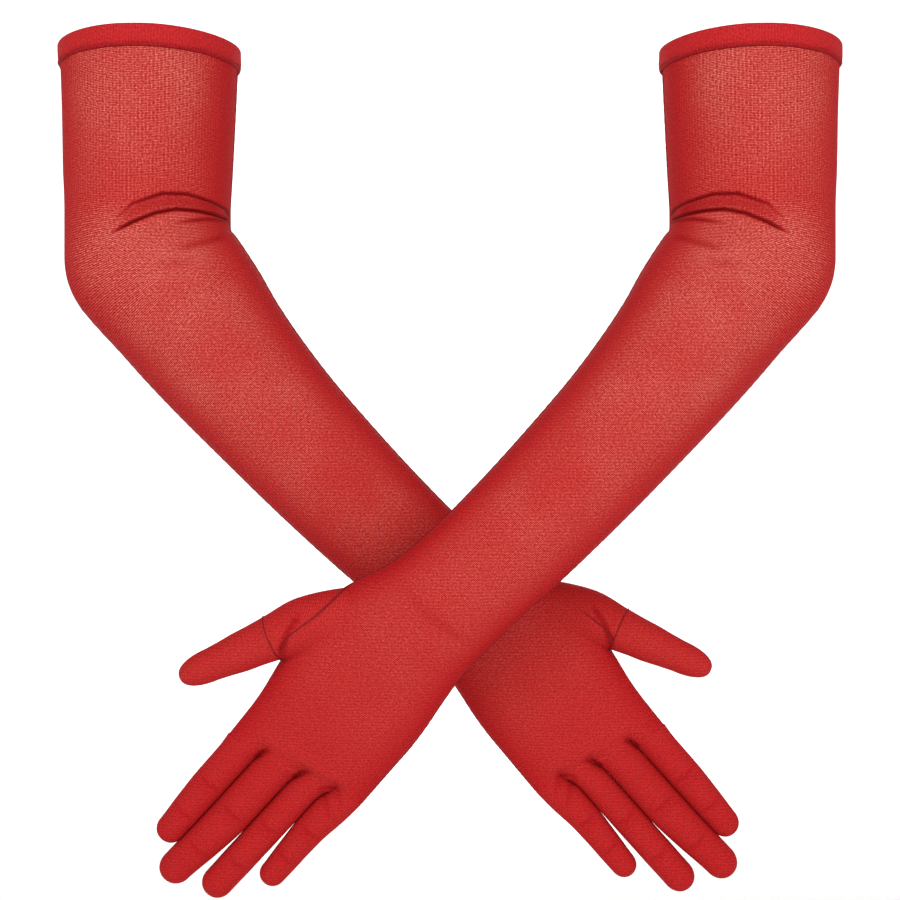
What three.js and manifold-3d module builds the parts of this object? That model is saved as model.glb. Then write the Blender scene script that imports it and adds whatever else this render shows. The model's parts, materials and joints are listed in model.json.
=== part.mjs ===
// A pair of long sheer mesh gloves, held in the shape they have when worn with the forearms crossed.
// Units are millimetres and +Z is up. The origin lies midway between the two sleeve mouths, on the
// level of the hems' top edges. -Y is the side that both palms face.
//
// The right glove's upper sleeve hangs at +X and its hand lies at -X, in front of the left glove.
// The left glove is its mirror image, except that its forearm leans back where the right one leans
// forward, so that the two cross without touching.
//
// Every glove is cut from palm-side and back-side panels, a set-in thumb with its gusset, a turned
// hem that holds an elastic tape, and side seams. The panels are divided where the cloth bends: at
// the elbow, the wrist, the knuckles and the middle joints of the fingers and thumb.
import * as THREE from "three";
import Module from "manifold-3d";

const wasm = await Module();
wasm.setup();

// ---- Driving dimensions ----

const cloth = 0.8; // thickness of one layer of the panels
const gap = 0.4; // clearance between two pieces that meet edge to edge
const pairSpacing = 300; // between the two upper sleeves' centre lines
const bend = THREE.MathUtils.degToRad(42.1); // how far each elbow is bent
const elbowDown = 106; // from the hem's top edge down to the elbow's centre
const wristAlong = 232; // from the elbow's centre to the wrist
const palmLength = 105; // from the wrist to the middle of the knuckle line
const knuckleAlong = wristAlong + palmLength;
const crossingAlong = pairSpacing / 2 / Math.sin(bend); // where the two arms cross
const crossingLean = 26.04; // how far each forearm stands forward or back where they cross
const wristLean = (crossingLean * wristAlong) / Math.min(crossingAlong, wristAlong);
const tipLean = 6; // the same at the fingertips
const tipAlong = knuckleAlong + 75; // where the lean reaches tipLean
const knuckleSlant = 0.25; // the knuckle line's slope against a line square to the hand

const hemHeight = 10.5;
const hemProud = 1; // how far the hem stands out of the sleeve below it
const elasticThickness = 0.6;
const elasticHeight = 6;
const elasticClearance = 0.3;

const seamThickness = 1;
const seamDepth = 4; // how far the seam's allowance reaches into the glove
const seamClearance = 0.3;

const elbowSpan = 9; // sleeve left at the crook on each side of the elbow's fold
const elbowReach = 36; // from the elbow's centre to the forearm panels
const wristReach = 13; // from the wrist's line to the panels on each side of it
const fingerFlat = 0.93; // a finger's depth over its width

// Half sizes of the upper sleeve, at distances below the hem's top edge. The last lies a set way
// above the elbow's centre, and the others keep their shares of the way down to it.
const upperStations = [
  { down: 0, radial: 44.4, ulnar: 43.8, depth: 44.2 },
  { down: 0.33 * elbowDown, radial: 42.8, ulnar: 42.6, depth: 42.8 },
  { down: 0.566 * elbowDown, radial: 41.5, ulnar: 42.2, depth: 41.8 },
  { down: elbowDown - 24, radial: 40.2, ulnar: 41.4, depth: 40.8 },
];

// Half sizes of the forearm and the palm, at distances from the elbow's centre towards the hand.
// Those near the elbow stay by it. The rest keep their shares of the forearm and of the palm.
const onForearm = (share) => share * wristAlong;
const onPalm = (share) => wristAlong + share * palmLength;
const foreStations = [
  { along: 24, radial: 39.6, ulnar: 41.2, depth: 39.6, slant: 0 },
  { along: 40, radial: 37, ulnar: 41.5, depth: 38, slant: 0 },
  { along: 58, radial: 33, ulnar: 41.3, depth: 35.6, slant: 0 },
  { along: onForearm(0.418), radial: 28, ulnar: 40, depth: 31.6, slant: 0 },
  { along: onForearm(0.586), radial: 26.8, ulnar: 38, depth: 28, slant: 0 },
  { along: onForearm(0.7586), radial: 27, ulnar: 35, depth: 24.4, slant: 0 },
  { along: onForearm(0.8836), radial: 28.3, ulnar: 32, depth: 21.8, slant: 0 },
  { along: wristAlong, radial: 29.8, ulnar: 30, depth: 20, slant: 0 },
  { along: onPalm(0.238), radial: 32, ulnar: 29.6, depth: 18.2, slant: 0.07 },
  { along: onPalm(0.505), radial: 36.6, ulnar: 33.8, depth: 16.8, slant: 0.16 },
  { along: onPalm(0.619), radial: 39.2, ulnar: 34.8, depth: 15.8, slant: 0.19 },
  { along: onPalm(0.743), radial: 37, ulnar: 35.2, depth: 14.6, slant: 0.22 },
];
const knuckleDepth = 10.6; // half depth of the palm at the knuckle line

// The fingers, from the thumb's side. base, middle and end are half widths: at the knuckle line, at
// the middle joint, and where the tip starts to round. drift and stray are how far the finger's
// centre has moved sideways at the middle joint and at the tip. reach is how far the fingertip lies
// past the middle of the knuckle line.
const fingers = [
  { name: "index_finger", base: 9.4, middle: 7.8, end: 6.8, drift: 0, stray: 0.6, reach: 71 },
  { name: "middle_finger", base: 9.6, middle: 9.2, end: 8, drift: -1.6, stray: -3.4, reach: 85 },
  { name: "ring_finger", base: 8.5, middle: 8.8, end: 8.8, drift: -1.4, stray: -1.8, reach: 76 },
  { name: "little_finger", base: 6.6, middle: 7.1, end: 6.2, drift: 0.2, stray: 0.8, reach: 52.5 },
];
const fingerGap = 0.9; // between neighbouring fingers at the knuckle line
const jointShare = 0.42; // the middle joint's place along a finger

// The thumb's centre line in the hand's own plane: pastWrist and side are measured from the middle
// of the wrist, forward towards the palm's side, and half is the half width.
const thumbStations = [
  { pastWrist: 18, side: -20, forward: 0, half: 8 },
  { pastWrist: 30, side: -31, forward: 0.8, half: 13.6 },
  { pastWrist: 47, side: -43, forward: 2.5, half: 13.5 },
  { pastWrist: 63.5, side: -51, forward: 4, half: 11.2 },
  { pastWrist: 78, side: -57.4, forward: 4.8, half: 9.5 },
  { pastWrist: 93.5, side: -64.4, forward: 5.2, half: 8 },
];
const thumbLength = 18.5; // from the last station to the thumb's tip
const thumbSeamAt = 3; // the station where the thumb is sewn to its gusset
const thumbJointAt = 4; // the station of the thumb's own joint

const sleeveSides = 24; // faces round the sleeve
const digitSides = 12; // faces round a finger
const big = 600; // larger than the object, for half spaces

const red = new THREE.Color("#c62a2c");
const darkRed = new THREE.Color("#a81c20");
const elasticWhite = new THREE.Color("#d9c7c2");

// ---- The glove's own frame ----

const elbow = new THREE.Vector3(pairSpacing / 2, 0, -elbowDown);
const downArm = new THREE.Vector3(-Math.sin(bend), 0, -Math.cos(bend));
const toUlnar = new THREE.Vector3(Math.cos(bend), 0, -Math.sin(bend));
const forward = new THREE.Vector3(0, -1, 0);

/** How far the glove's middle surface stands off the plane Y = 0, along Y. */
function leanAt(along, leanSign) {
  const toWrist = (wristLean * Math.max(along, 0)) / wristAlong;
  const slope = (wristLean - tipLean) / (tipAlong - wristAlong);
  const pastWrist = wristLean - slope * (along - wristAlong);
  return leanSign * (along < wristAlong ? toWrist : pastWrist);
}

/** A point of the forearm or hand: along the arm, to the little finger's side, and off the middle. */
function handPoint(along, side, off, leanSign) {
  return elbow
    .clone()
    .addScaledVector(downArm, along)
    .addScaledVector(toUlnar, side)
    .add(new THREE.Vector3(0, leanAt(along, leanSign) + off, 0));
}

// ---- Solids ----

/** A closed mesh as a manifold-3d solid. */
function solidOf(vertices, triangles) {
  return new wasm.Manifold(
    new wasm.Mesh({
      numProp: 3,
      vertProperties: new Float32Array(vertices.flatMap((v) => v.toArray())),
      triVerts: new Uint32Array(triangles),
    }),
  );
}

/** A solid lofted through rings that have equally many points, with a fan over each end. */
function loft(rings) {
  const n = rings[0].length;
  const middle = (ring) =>
    ring.reduce((sum, p) => sum.add(p), new THREE.Vector3()).divideScalar(n);
  const first = middle(rings[0]);
  const last = middle(rings.at(-1));
  const turn = new THREE.Vector3().crossVectors(
    rings[0][0].clone().sub(first),
    rings[0][Math.floor(n / 4)].clone().sub(first),
  );
  const flipped = turn.dot(middle(rings[1]).sub(first)) < 0;
  const triangles = [];
  const face = (a, b, c) => triangles.push(...(flipped ? [a, c, b] : [a, b, c]));
  const start = rings.length * n;
  for (let j = 0; j < n; j++) {
    const k = (j + 1) % n;
    face(start, k, j);
    face(start + 1, start - n + j, start - n + k);
    for (let i = 0; i + 1 < rings.length; i++) {
      face(i * n + j, i * n + k, (i + 1) * n + j);
      face(i * n + k, (i + 1) * n + k, (i + 1) * n + j);
    }
  }
  return solidOf([...rings.flat(), first, last], triangles);
}

/** Points round an ellipse that reaches from one rail to the other and depth to each side. */
function ellipse(from, to, depth, sides) {
  const centre = from.clone().lerp(to, 0.5);
  const across = to.clone().sub(centre);
  const points = [];
  for (let i = 0; i < sides; i++) {
    const angle = (2 * Math.PI * (i + 0.5)) / sides;
    points.push(
      centre
        .clone()
        .addScaledVector(across, Math.cos(angle) / Math.cos(Math.PI / sides))
        .addScaledVector(forward, (depth * Math.sin(angle)) / Math.cos(Math.PI / sides)),
    );
  }
  return points;
}

/** Everything on the side of a plane that its normal points to. */
function halfSpace(point, normal) {
  const box = new THREE.BoxGeometry(2 * big, 2 * big, 2 * big);
  const turn = new THREE.Quaternion().setFromUnitVectors(
    new THREE.Vector3(0, 0, 1),
    normal.clone().normalize(),
  );
  const place = point.clone().addScaledVector(normal.clone().normalize(), big);
  const corner = new THREE.Vector3();
  const corners = [];
  const triangles = [];
  const seen = new Map();
  const positions = box.getAttribute("position");
  for (let i = 0; i < box.index.count; i++) {
    corner.fromBufferAttribute(positions, box.index.getX(i));
    const key = corner.toArray().join();
    if (!seen.has(key)) {
      seen.set(key, corners.length);
      corners.push(corner.clone().applyQuaternion(turn).add(place));
    }
    triangles.push(seen.get(key));
  }
  return solidOf(corners, triangles);
}

/** The part of a solid between two planes, each given as [point, normal], normals facing in. */
function between(solid, ...planes) {
  return planes.reduce((rest, plane) => rest.intersect(halfSpace(...plane)), solid);
}

/** A strip of the seam's allowance, lying just inside a rail. */
function seamStrip(rail, inwards) {
  const half = forward.clone().multiplyScalar(seamThickness / 2);
  return loft(
    rail.map((p) => {
      const inner = p.clone().addScaledVector(inwards, seamDepth);
      return [
        p.clone().add(half),
        inner.clone().add(half),
        inner.clone().sub(half),
        p.clone().sub(half),
      ];
    }),
  );
}

// ---- The forms, each at a distance inside the glove's outer surface ----

const knuckleHalf =
  fingers.reduce((sum, f) => sum + 2 * f.base, (fingers.length - 1) * fingerGap) / 2;
const knuckleStation = {
  along: knuckleAlong,
  radial: knuckleHalf,
  ulnar: knuckleHalf,
  depth: knuckleDepth,
  slant: knuckleSlant,
};
const miter = upperStations.at(-1).radial * Math.tan(bend / 2);
const crookSideways = new THREE.Vector3(-upperStations.at(-1).radial, 0, miter);

/** The rails and depth of one ring of the upper sleeve. */
function upperRing(station, inset) {
  const level = new THREE.Vector3(elbow.x, 0, -station.down);
  return ellipse(
    level.clone().setX(elbow.x - station.radial + inset),
    level.clone().setX(elbow.x + station.ulnar - inset),
    station.depth - inset,
    sleeveSides,
  );
}

/** One ring of the forearm or palm. Its line is slanted as the knuckles are. */
function foreRing(station, inset, leanSign) {
  const at = (side) => handPoint(station.along - station.slant * side, side, 0, leanSign);
  return ellipse(
    at(-station.radial + inset),
    at(station.ulnar - inset),
    station.depth - inset,
    sleeveSides,
  );
}

/** The rings that fan round the elbow: they share the crook and follow an arc outside. */
function elbowRings(inset) {
  const turns = 4;
  const first = upperStations.at(-1);
  const last = foreStations[0];
  const rings = [];
  for (let i = 0; i <= turns; i++) {
    const share = i / turns;
    const angle = bend * share;
    const radius = THREE.MathUtils.lerp(first.ulnar, last.ulnar, share) - inset;
    const depth = THREE.MathUtils.lerp(first.depth, last.depth, share) - inset;
    const outside = new THREE.Vector3(Math.cos(angle), 0, -Math.sin(angle));
    const away = new THREE.Vector3(0, 0, 1).lerp(downArm, share);
    const slide = THREE.MathUtils.lerp(elbowSpan / 3, 0.4, 1 - Math.abs(2 * share - 1));
    const crook = elbow.clone().add(crookSideways);
    crook.addScaledVector(i < turns / 2 ? new THREE.Vector3(0, 0, 1) : downArm, slide);
    crook.addScaledVector(toUlnar.clone().lerp(new THREE.Vector3(1, 0, 0), 0.5), inset);
    const outer = elbow.clone().addScaledVector(outside, radius);
    if (away.lengthSq() > 0) rings.push(ellipse(crook, outer, depth, sleeveSides));
  }
  return rings;
}

/** The sleeve from its mouth to the knuckles. mouth adds a length above the hem's edge. */
function sleeveForm(inset, leanSign, mouth = 0) {
  const top = { ...upperStations[0], down: -mouth };
  const end = { ...knuckleStation, along: knuckleStation.along - inset };
  return loft([
    upperRing(top, inset),
    ...upperStations.slice(1).map((station) => upperRing(station, inset)),
    ...elbowRings(inset),
    ...[...foreStations, end].map((station) => foreRing(station, inset, leanSign)),
  ]);
}

/** Where each finger starts on the knuckle line, to the little finger's side of its middle. */
function baseSides() {
  let edge = -knuckleHalf;
  return fingers.map((finger) => {
    const side = edge + finger.base;
    edge += 2 * finger.base + fingerGap;
    return side;
  });
}

/** The centre line and half widths of a finger, from the knuckle line to where its tip rounds. */
function fingerLine(finger, side) {
  const start = knuckleAlong - knuckleSlant * side;
  const tip = knuckleAlong + finger.reach;
  const joint = THREE.MathUtils.lerp(start, tip, jointShare);
  const end = tip - finger.end;
  return [
    { along: start, side, half: finger.base },
    { along: joint, side: side + finger.drift, half: finger.middle },
    { along: end, side: side + finger.stray, half: finger.end },
  ];
}

/** A finger's solid form, started behind the knuckle line by a given length. */
function fingerForm(finger, side, inset, leanSign, behind) {
  const line = fingerLine(finger, side);
  const [start, , end] = line;
  const slant = (place) => (place === start ? knuckleSlant : 0);
  const ringAt = (place, half, slope) => {
    const at = (off) => handPoint(place.along - slope * off, place.side + off, 0, leanSign);
    return ellipse(at(-half), at(half), half * fingerFlat, digitSides);
  };
  const rings = [
    ringAt({ ...start, along: start.along - behind }, start.half - inset, knuckleSlant),
    ...line.map((place) => ringAt(place, place.half - inset, slant(place))),
  ];
  for (const turn of [0.45, 0.85, 1.25]) {
    const reach = (end.half - inset) * Math.sin(turn);
    const place = { along: end.along + reach, side: end.side };
    rings.push(ringAt(place, (end.half - inset) * Math.cos(turn), 0));
  }
  return loft(behind ? rings : rings.slice(1));
}

/** The thumb's stations as points, with the direction of its line at each. */
function thumbLine(leanSign) {
  const points = thumbStations.map((s) =>
    handPoint(wristAlong + s.pastWrist, s.side, -s.forward, leanSign),
  );
  return points.map((point, i) => ({
    point,
    half: thumbStations[i].half,
    heading: points[Math.min(i + 1, points.length - 1)]
      .clone()
      .sub(points[Math.max(i - 1, 0)])
      .normalize(),
  }));
}

/** The thumb's solid form, from inside the palm to its tip. */
function thumbForm(inset, leanSign) {
  const line = thumbLine(leanSign);
  const ringAt = (point, heading, half) => {
    const across = new THREE.Vector3().crossVectors(heading, forward).normalize();
    return ellipse(
      point.clone().addScaledVector(across, -half),
      point.clone().addScaledVector(across, half),
      half * fingerFlat,
      digitSides,
    );
  };
  const rings = line.map((p) => ringAt(p.point, p.heading, p.half - inset));
  const end = line.at(-1);
  for (const turn of [0.45, 0.85, 1.25]) {
    const reach = (thumbLength - inset) * Math.sin(turn);
    const point = end.point.clone().addScaledVector(end.heading, reach);
    rings.push(ringAt(point, end.heading, (end.half - inset) * Math.cos(turn)));
  }
  return loft(rings);
}

// ---- One glove ----

/** Builds a glove's pieces. Returns [name, solid, colour] for each. */
function glovePieces(leanSign) {
  const pieces = [];
  const add = (name, solid, colour = red) => pieces.push([name, solid, colour]);

  const outer = sleeveForm(0, leanSign);
  const inner = sleeveForm(cloth, leanSign, hemHeight);
  const thumbOuter = thumbForm(0, leanSign);
  const thumbInner = thumbForm(cloth, leanSign);
  const sides = baseSides();
  const bores = fingers.map((f, i) =>
    fingerForm(f, sides[i], cloth, leanSign, 4 * cloth),
  );
  const shell = [inner, thumbInner, ...bores].reduce((rest, cut) => rest.subtract(cut), outer);

  // The hem, turned double over its elastic.
  const mouth = upperStations[0];
  const band = (top, bottom, inset) =>
    loft([
      upperRing({ ...mouth, down: top }, inset),
      upperRing({ ...mouth, down: bottom }, inset),
    ]);
  const slot = elasticThickness + 2 * elasticClearance;
  const leaf = cloth - hemProud;
  const fold = 2 * elasticClearance + cloth;
  const hem = band(0, hemHeight, -hemProud)
    .subtract(band(-1, hemHeight + 1, leaf + slot + cloth))
    .subtract(
      band(fold, hemHeight + 1, leaf).subtract(band(fold - 1, hemHeight + 2, leaf + slot)),
    );
  add("hem", hem);
  const tape = leaf + elasticClearance;
  const tapeTop = fold + elasticClearance;
  const elastic = band(tapeTop, tapeTop + elasticHeight, tape).subtract(
    band(0, hemHeight + 2, tape + elasticThickness),
  );
  add("hem_elastic", elastic, elasticWhite);

  // Planes that divide the sleeve.
  const underHem = [new THREE.Vector3(0, 0, -hemHeight - gap), new THREE.Vector3(0, 0, -1)];
  const overElbow = new THREE.Vector3(0, 0, crookSideways.z - elbowDown + elbowSpan);
  const up = new THREE.Vector3(0, 0, 1);
  const down = up.clone().negate();
  const upArm = downArm.clone().negate();
  const onArm = (along) => handPoint(along, 0, 0, leanSign);
  const halfSeam = seamThickness / 2 + seamClearance;
  const armSlope = new THREE.Vector3(0, 1, 0).addScaledVector(
    downArm,
    (-leanSign * wristLean) / wristAlong,
  );
  const handSlope = new THREE.Vector3(0, 1, 0).addScaledVector(
    downArm,
    (leanSign * (wristLean - tipLean)) / (tipAlong - wristAlong),
  );
  const halves = (solid, point, slope) => {
    const back = slope.clone().normalize();
    const palm = back.clone().negate();
    return {
      palm: between(solid, [point.clone().addScaledVector(palm, halfSeam), palm]),
      back: between(solid, [point.clone().addScaledVector(back, halfSeam), back]),
    };
  };

  // The upper sleeve, the elbow and the forearm.
  const upper = halves(
    between(shell, underHem, [overElbow.clone().addScaledVector(up, gap), up]),
    new THREE.Vector3(),
    new THREE.Vector3(0, 1, 0),
  );
  add("upper_sleeve_palm_side", upper.palm);
  add("upper_sleeve_back_side", upper.back);
  const acrossElbow = downArm.clone().lerp(down, 0.5);
  add(
    "elbow_sleeve",
    between(
      shell,
      [overElbow, down],
      [onArm(elbowReach), upArm],
      [elbow.clone().addScaledVector(acrossElbow, -big / 4), acrossElbow],
    ),
  );
  const fore = halves(
    between(
      shell,
      [onArm(elbowReach + gap), downArm],
      [onArm(wristAlong - wristReach - gap), upArm],
    ),
    onArm(0),
    armSlope,
  );
  add("forearm_palm_side", fore.palm);
  add("forearm_back_side", fore.back);
  add(
    "wrist_sleeve",
    between(
      shell,
      [onArm(wristAlong - wristReach), downArm],
      [onArm(wristAlong + wristReach), upArm],
    ),
  );

  // The hand's two panels.
  const hand = halves(
    between(shell, [onArm(wristAlong + wristReach + gap), downArm]),
    onArm(wristAlong),
    handSlope,
  );
  add("palm_panel", hand.palm);
  add("back_panel", hand.back);

  // The thumb: its gusset outside the palm, then the sewn-on tube in two lengths.
  const line = thumbLine(leanSign);
  const seam = line[thumbSeamAt];
  const joint = line[thumbJointAt];
  const thumbShell = thumbOuter.subtract(thumbInner);
  const near = sleeveForm(-seamClearance, leanSign);
  const backwards = (place) => place.heading.clone().negate();
  add(
    "thumb_gusset",
    between(
      thumbShell.subtract(near),
      [onArm(wristAlong + wristReach + gap), downArm],
      [seam.point, backwards(seam)],
    ),
  );
  const thumbTube = thumbShell.subtract(near);
  add(
    "thumb_base",
    between(
      thumbTube,
      [seam.point.clone().addScaledVector(seam.heading, gap), seam.heading],
      [joint.point, backwards(joint)],
    ),
  );
  add(
    "thumb_tip",
    between(thumbTube, [joint.point.clone().addScaledVector(joint.heading, gap), joint.heading]),
  );

  // The fingers, each in two lengths.
  const knuckleNormal = downArm.clone().addScaledVector(toUlnar, knuckleSlant).normalize();
  const knuckle = onArm(knuckleAlong).addScaledVector(knuckleNormal, gap);
  fingers.forEach((finger, i) => {
    const tube = fingerForm(finger, sides[i], 0, leanSign, 2).subtract(bores[i]);
    const middle = fingerLine(finger, sides[i])[1];
    const cut = handPoint(middle.along, middle.side, 0, leanSign);
    add(`${finger.name}_base`, between(tube, [knuckle, knuckleNormal], [cut, upArm]));
    add(
      `${finger.name}_tip`,
      between(tube, [cut.clone().addScaledVector(downArm, gap), downArm]),
    );
  });

  // The side seams, whose allowances stand inside the glove between the two panels.
  const top = hemHeight + gap;
  const bottom = -overElbow.z - gap;
  const upperRail = (key, sign) =>
    [{ ...mouth, down: top }, ...upperStations.slice(1, -1)]
      .concat({ ...upperStations.at(-1), down: Math.min(bottom, upperStations.at(-1).down) })
      .filter((s) => s.down <= bottom)
      .map((s) => new THREE.Vector3(elbow.x + sign * (s[key] - cloth / 2), 0, -s.down));
  const inside = new THREE.Vector3(1, 0, 0);
  add("upper_ulnar_seam", seamStrip(upperRail("ulnar", 1), inside.clone().negate()), darkRed);
  add("upper_radial_seam", seamStrip(upperRail("radial", -1), inside), darkRed);
  const foreRail = (key, sign, from, to) =>
    stationsBetween(from, to).map((s) =>
      handPoint(s.along - s.slant * sign * s[key], sign * (s[key] - cloth / 2), 0, leanSign),
    );
  const forearmEnds = [elbowReach + gap, wristAlong - wristReach - gap];
  const toRadial = toUlnar.clone().negate();
  add("forearm_ulnar_seam", seamStrip(foreRail("ulnar", 1, ...forearmEnds), toRadial), darkRed);
  add("forearm_radial_seam", seamStrip(foreRail("radial", -1, ...forearmEnds), toUlnar), darkRed);
  const handEnds = [wristAlong + wristReach + seamDepth, knuckleAlong - 2 * cloth];
  add("hand_ulnar_seam", seamStrip(foreRail("ulnar", 1, ...handEnds), toRadial), darkRed);
  return pieces;
}

/** The lines that a glove bends about, as [name, point, axis]: turning by the axis closes the hand. */
function gloveHinges(leanSign) {
  const hinges = [];
  const toPalm = (heading) => new THREE.Vector3().crossVectors(heading, forward).normalize();
  hinges.push(["elbow", elbow.clone(), forward.clone()]);
  hinges.push(["wrist", handPoint(wristAlong, 0, 0, leanSign), toPalm(downArm)]);
  const line = thumbLine(leanSign);
  for (const [name, place] of [
    ["thumb_base", line[thumbSeamAt]],
    ["thumb_tip", line[thumbJointAt]],
  ]) {
    const skin = new THREE.Vector3().crossVectors(toPalm(place.heading), place.heading);
    const point = place.point.clone().addScaledVector(skin, place.half * fingerFlat + gap);
    point.addScaledVector(place.heading, gap / 2);
    hinges.push([name, point, toPalm(place.heading)]);
  }
  const sides = baseSides();
  fingers.forEach((finger, i) => {
    const [start, middle] = fingerLine(finger, sides[i]);
    const root = handPoint(start.along, start.side, -knuckleDepth - gap, leanSign);
    const bendAt = middle.half * fingerFlat + gap;
    const joint = handPoint(middle.along, middle.side, -bendAt, leanSign);
    hinges.push([`${finger.name}_base`, root.addScaledVector(downArm, gap), toPalm(downArm)]);
    hinges.push([`${finger.name}_tip`, joint.addScaledVector(downArm, gap / 2), toPalm(downArm)]);
  });
  return hinges;
}

/** The forearm's and palm's stations between two places, with one made at each end. */
function stationsBetween(from, to) {
  const all = [...foreStations, knuckleStation];
  const at = (along) => {
    const i = Math.max(
      1,
      all.findIndex((s) => s.along >= along),
    );
    const [a, b] = [all[i - 1], all[i]];
    const share = (along - a.along) / (b.along - a.along);
    const mix = (key) => THREE.MathUtils.lerp(a[key], b[key], share);
    return { along, radial: mix("radial"), ulnar: mix("ulnar"), slant: mix("slant") };
  };
  return [at(from), ...all.filter((s) => s.along > from && s.along < to), at(to)];
}

/** A named mesh from a solid. */
function meshOf(name, solid, colour) {
  const made = solid.getMesh();
  const geometry = new THREE.BufferGeometry();
  geometry.setAttribute("position", new THREE.BufferAttribute(made.vertProperties, 3));
  geometry.setIndex(new THREE.BufferAttribute(made.triVerts, 1));
  geometry.computeVertexNormals();
  const material = new THREE.MeshStandardMaterial({ color: colour, roughness: 0.75 });
  const mesh = new THREE.Mesh(geometry, material);
  mesh.name = name;
  return mesh;
}

const gloves = new THREE.Group();
for (const [hand, leanSign, mirror] of [
  ["right", -1, 1],
  ["left", 1, -1],
]) {
  const glove = new THREE.Group();
  glove.name = `${hand}_glove`;
  glove.scale.x = mirror;
  glove.userData.hinges = gloveHinges(leanSign);
  for (const [name, solid, colour] of glovePieces(leanSign)) {
    glove.add(meshOf(`${hand}_${name}`, solid, colour));
  }
  gloves.add(glove);
}

export default gloves;
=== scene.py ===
"""A pair of long sheer mesh gloves, worn with the forearms crossed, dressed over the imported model."""

import json
import logging
import math
from dataclasses import dataclass, field
from enum import Enum

import bpy
import numpy as np
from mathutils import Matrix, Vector


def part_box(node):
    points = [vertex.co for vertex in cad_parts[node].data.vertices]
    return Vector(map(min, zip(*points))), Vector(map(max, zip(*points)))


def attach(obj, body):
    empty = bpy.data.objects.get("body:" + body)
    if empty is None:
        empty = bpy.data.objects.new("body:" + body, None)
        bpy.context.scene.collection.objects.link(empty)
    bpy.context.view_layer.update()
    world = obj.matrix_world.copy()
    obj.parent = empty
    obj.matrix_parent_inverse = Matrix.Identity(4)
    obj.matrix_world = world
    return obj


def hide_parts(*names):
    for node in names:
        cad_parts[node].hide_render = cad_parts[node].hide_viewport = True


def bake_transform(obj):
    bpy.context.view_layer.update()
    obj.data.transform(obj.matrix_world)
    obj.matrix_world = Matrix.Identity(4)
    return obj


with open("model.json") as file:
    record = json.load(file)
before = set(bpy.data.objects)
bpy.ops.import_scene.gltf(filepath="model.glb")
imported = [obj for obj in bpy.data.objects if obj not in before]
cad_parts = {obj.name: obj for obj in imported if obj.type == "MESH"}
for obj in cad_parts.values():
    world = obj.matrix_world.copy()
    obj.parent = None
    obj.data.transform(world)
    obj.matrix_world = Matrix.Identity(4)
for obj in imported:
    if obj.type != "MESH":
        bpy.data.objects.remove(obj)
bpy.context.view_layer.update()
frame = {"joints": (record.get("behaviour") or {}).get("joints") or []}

MM = 0.001
LOG = logging.getLogger("gloves")
Array = np.ndarray


class Hand(Enum):
    """Which glove of the pair, and the sign of the way out from between the two."""

    RIGHT = "right"
    LEFT = "left"

    @property
    def out(self) -> float:
        """+1 where the upper sleeve hangs at +X, and -1 where it hangs at -X.

        Returns:
            The sign.
        """
        return 1.0 if self is Hand.RIGHT else -1.0


class Side(Enum):
    """The face of the glove that a fold lies on."""

    PALM = 1.0
    BACK = -1.0


# ---- Sums on arrays ----


def ease(x: Array) -> Array:
    """A step from 0 to 1 with level ends: 3x^2 - 2x^3, held at 0 and 1 outside.

    Args:
        x: Where on the step, 0 at its start and 1 at its end.

    Returns:
        The step's height at each x.
    """
    x = np.clip(x, 0.0, 1.0)
    return x * x * (3.0 - 2.0 * x)


def through(knots: Array, values: Array, at: Array) -> Array:
    """A smooth curve through given values that never overshoots them.

    Between two knots it is the cubic that has their values and slopes. A slope is the weighted
    harmonic mean of the slopes of the chords on each side, or 0 where they turn back.

    Args:
        knots: Rising places, one for each value.
        values: One number or one row for each knot.
        at: The places that are wanted.

    Returns:
        The curve's value at each place, shaped as values are.
    """
    t = np.asarray(knots, float)
    v = np.asarray(values, float)
    flat = v.ndim == 1
    v = v[:, None] if flat else v
    step = np.diff(t)[:, None]
    chord = np.diff(v, axis=0) / step
    slope = np.zeros_like(v)
    slope[0], slope[-1] = chord[0], chord[-1]
    before, after = 2 * step[1:] + step[:-1], step[1:] + 2 * step[:-1]
    same = chord[:-1] * chord[1:] > 0
    a = np.where(same, chord[:-1], 1.0)
    b = np.where(same, chord[1:], 1.0)
    slope[1:-1] = np.where(same, (before + after) / (before / a + after / b), 0.0)
    where = np.atleast_1d(np.asarray(at, float))
    i = np.clip(np.searchsorted(t, where, side="right") - 1, 0, len(t) - 2)
    h = step[i]
    s = (where[:, None] - t[i][:, None]) / h
    out = (
        v[i] * (2 * s**3 - 3 * s**2 + 1)
        + slope[i] * h * (s**3 - 2 * s**2 + s)
        + v[i + 1] * (3 * s**2 - 2 * s**3)
        + slope[i + 1] * h * (s**3 - s**2)
    )
    return out[:, 0] if flat else out


def unit(v: Array) -> Array:
    """Rows of v scaled to length 1.

    Args:
        v: Vectors along the last axis.

    Returns:
        The unit vectors.
    """
    return v / np.maximum(np.linalg.norm(v, axis=-1, keepdims=True), 1e-12)


def off_line(points: Array, line: Array) -> tuple[Array, Array]:
    """How far points lie from a line of straight legs, and how far along it.

    For each leg the nearest point is the foot of the perpendicular, held to the leg's ends, and
    the nearest leg wins.

    Args:
        points: N rows of 2 or 3 numbers.
        line: M rows of the same.

    Returns:
        Each point's distance, and its share of the line's length, from 0 to 1.
    """
    a, b = line[:-1], line[1:]
    leg = b - a
    size = np.linalg.norm(leg, axis=1)
    start = np.concatenate([[0.0], np.cumsum(size)])
    share = np.einsum("nmk,mk->nm", points[:, None] - a[None], leg) / size**2
    share = np.clip(share, 0.0, 1.0)
    gap = np.linalg.norm(points[:, None] - (a + share[..., None] * leg), axis=2)
    best = gap.argmin(axis=1)
    rows = np.arange(len(points))
    along = (start[best] + share[rows, best] * size[best]) / start[-1]
    return gap[rows, best], along


# ---- The arm's own frame ----


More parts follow.
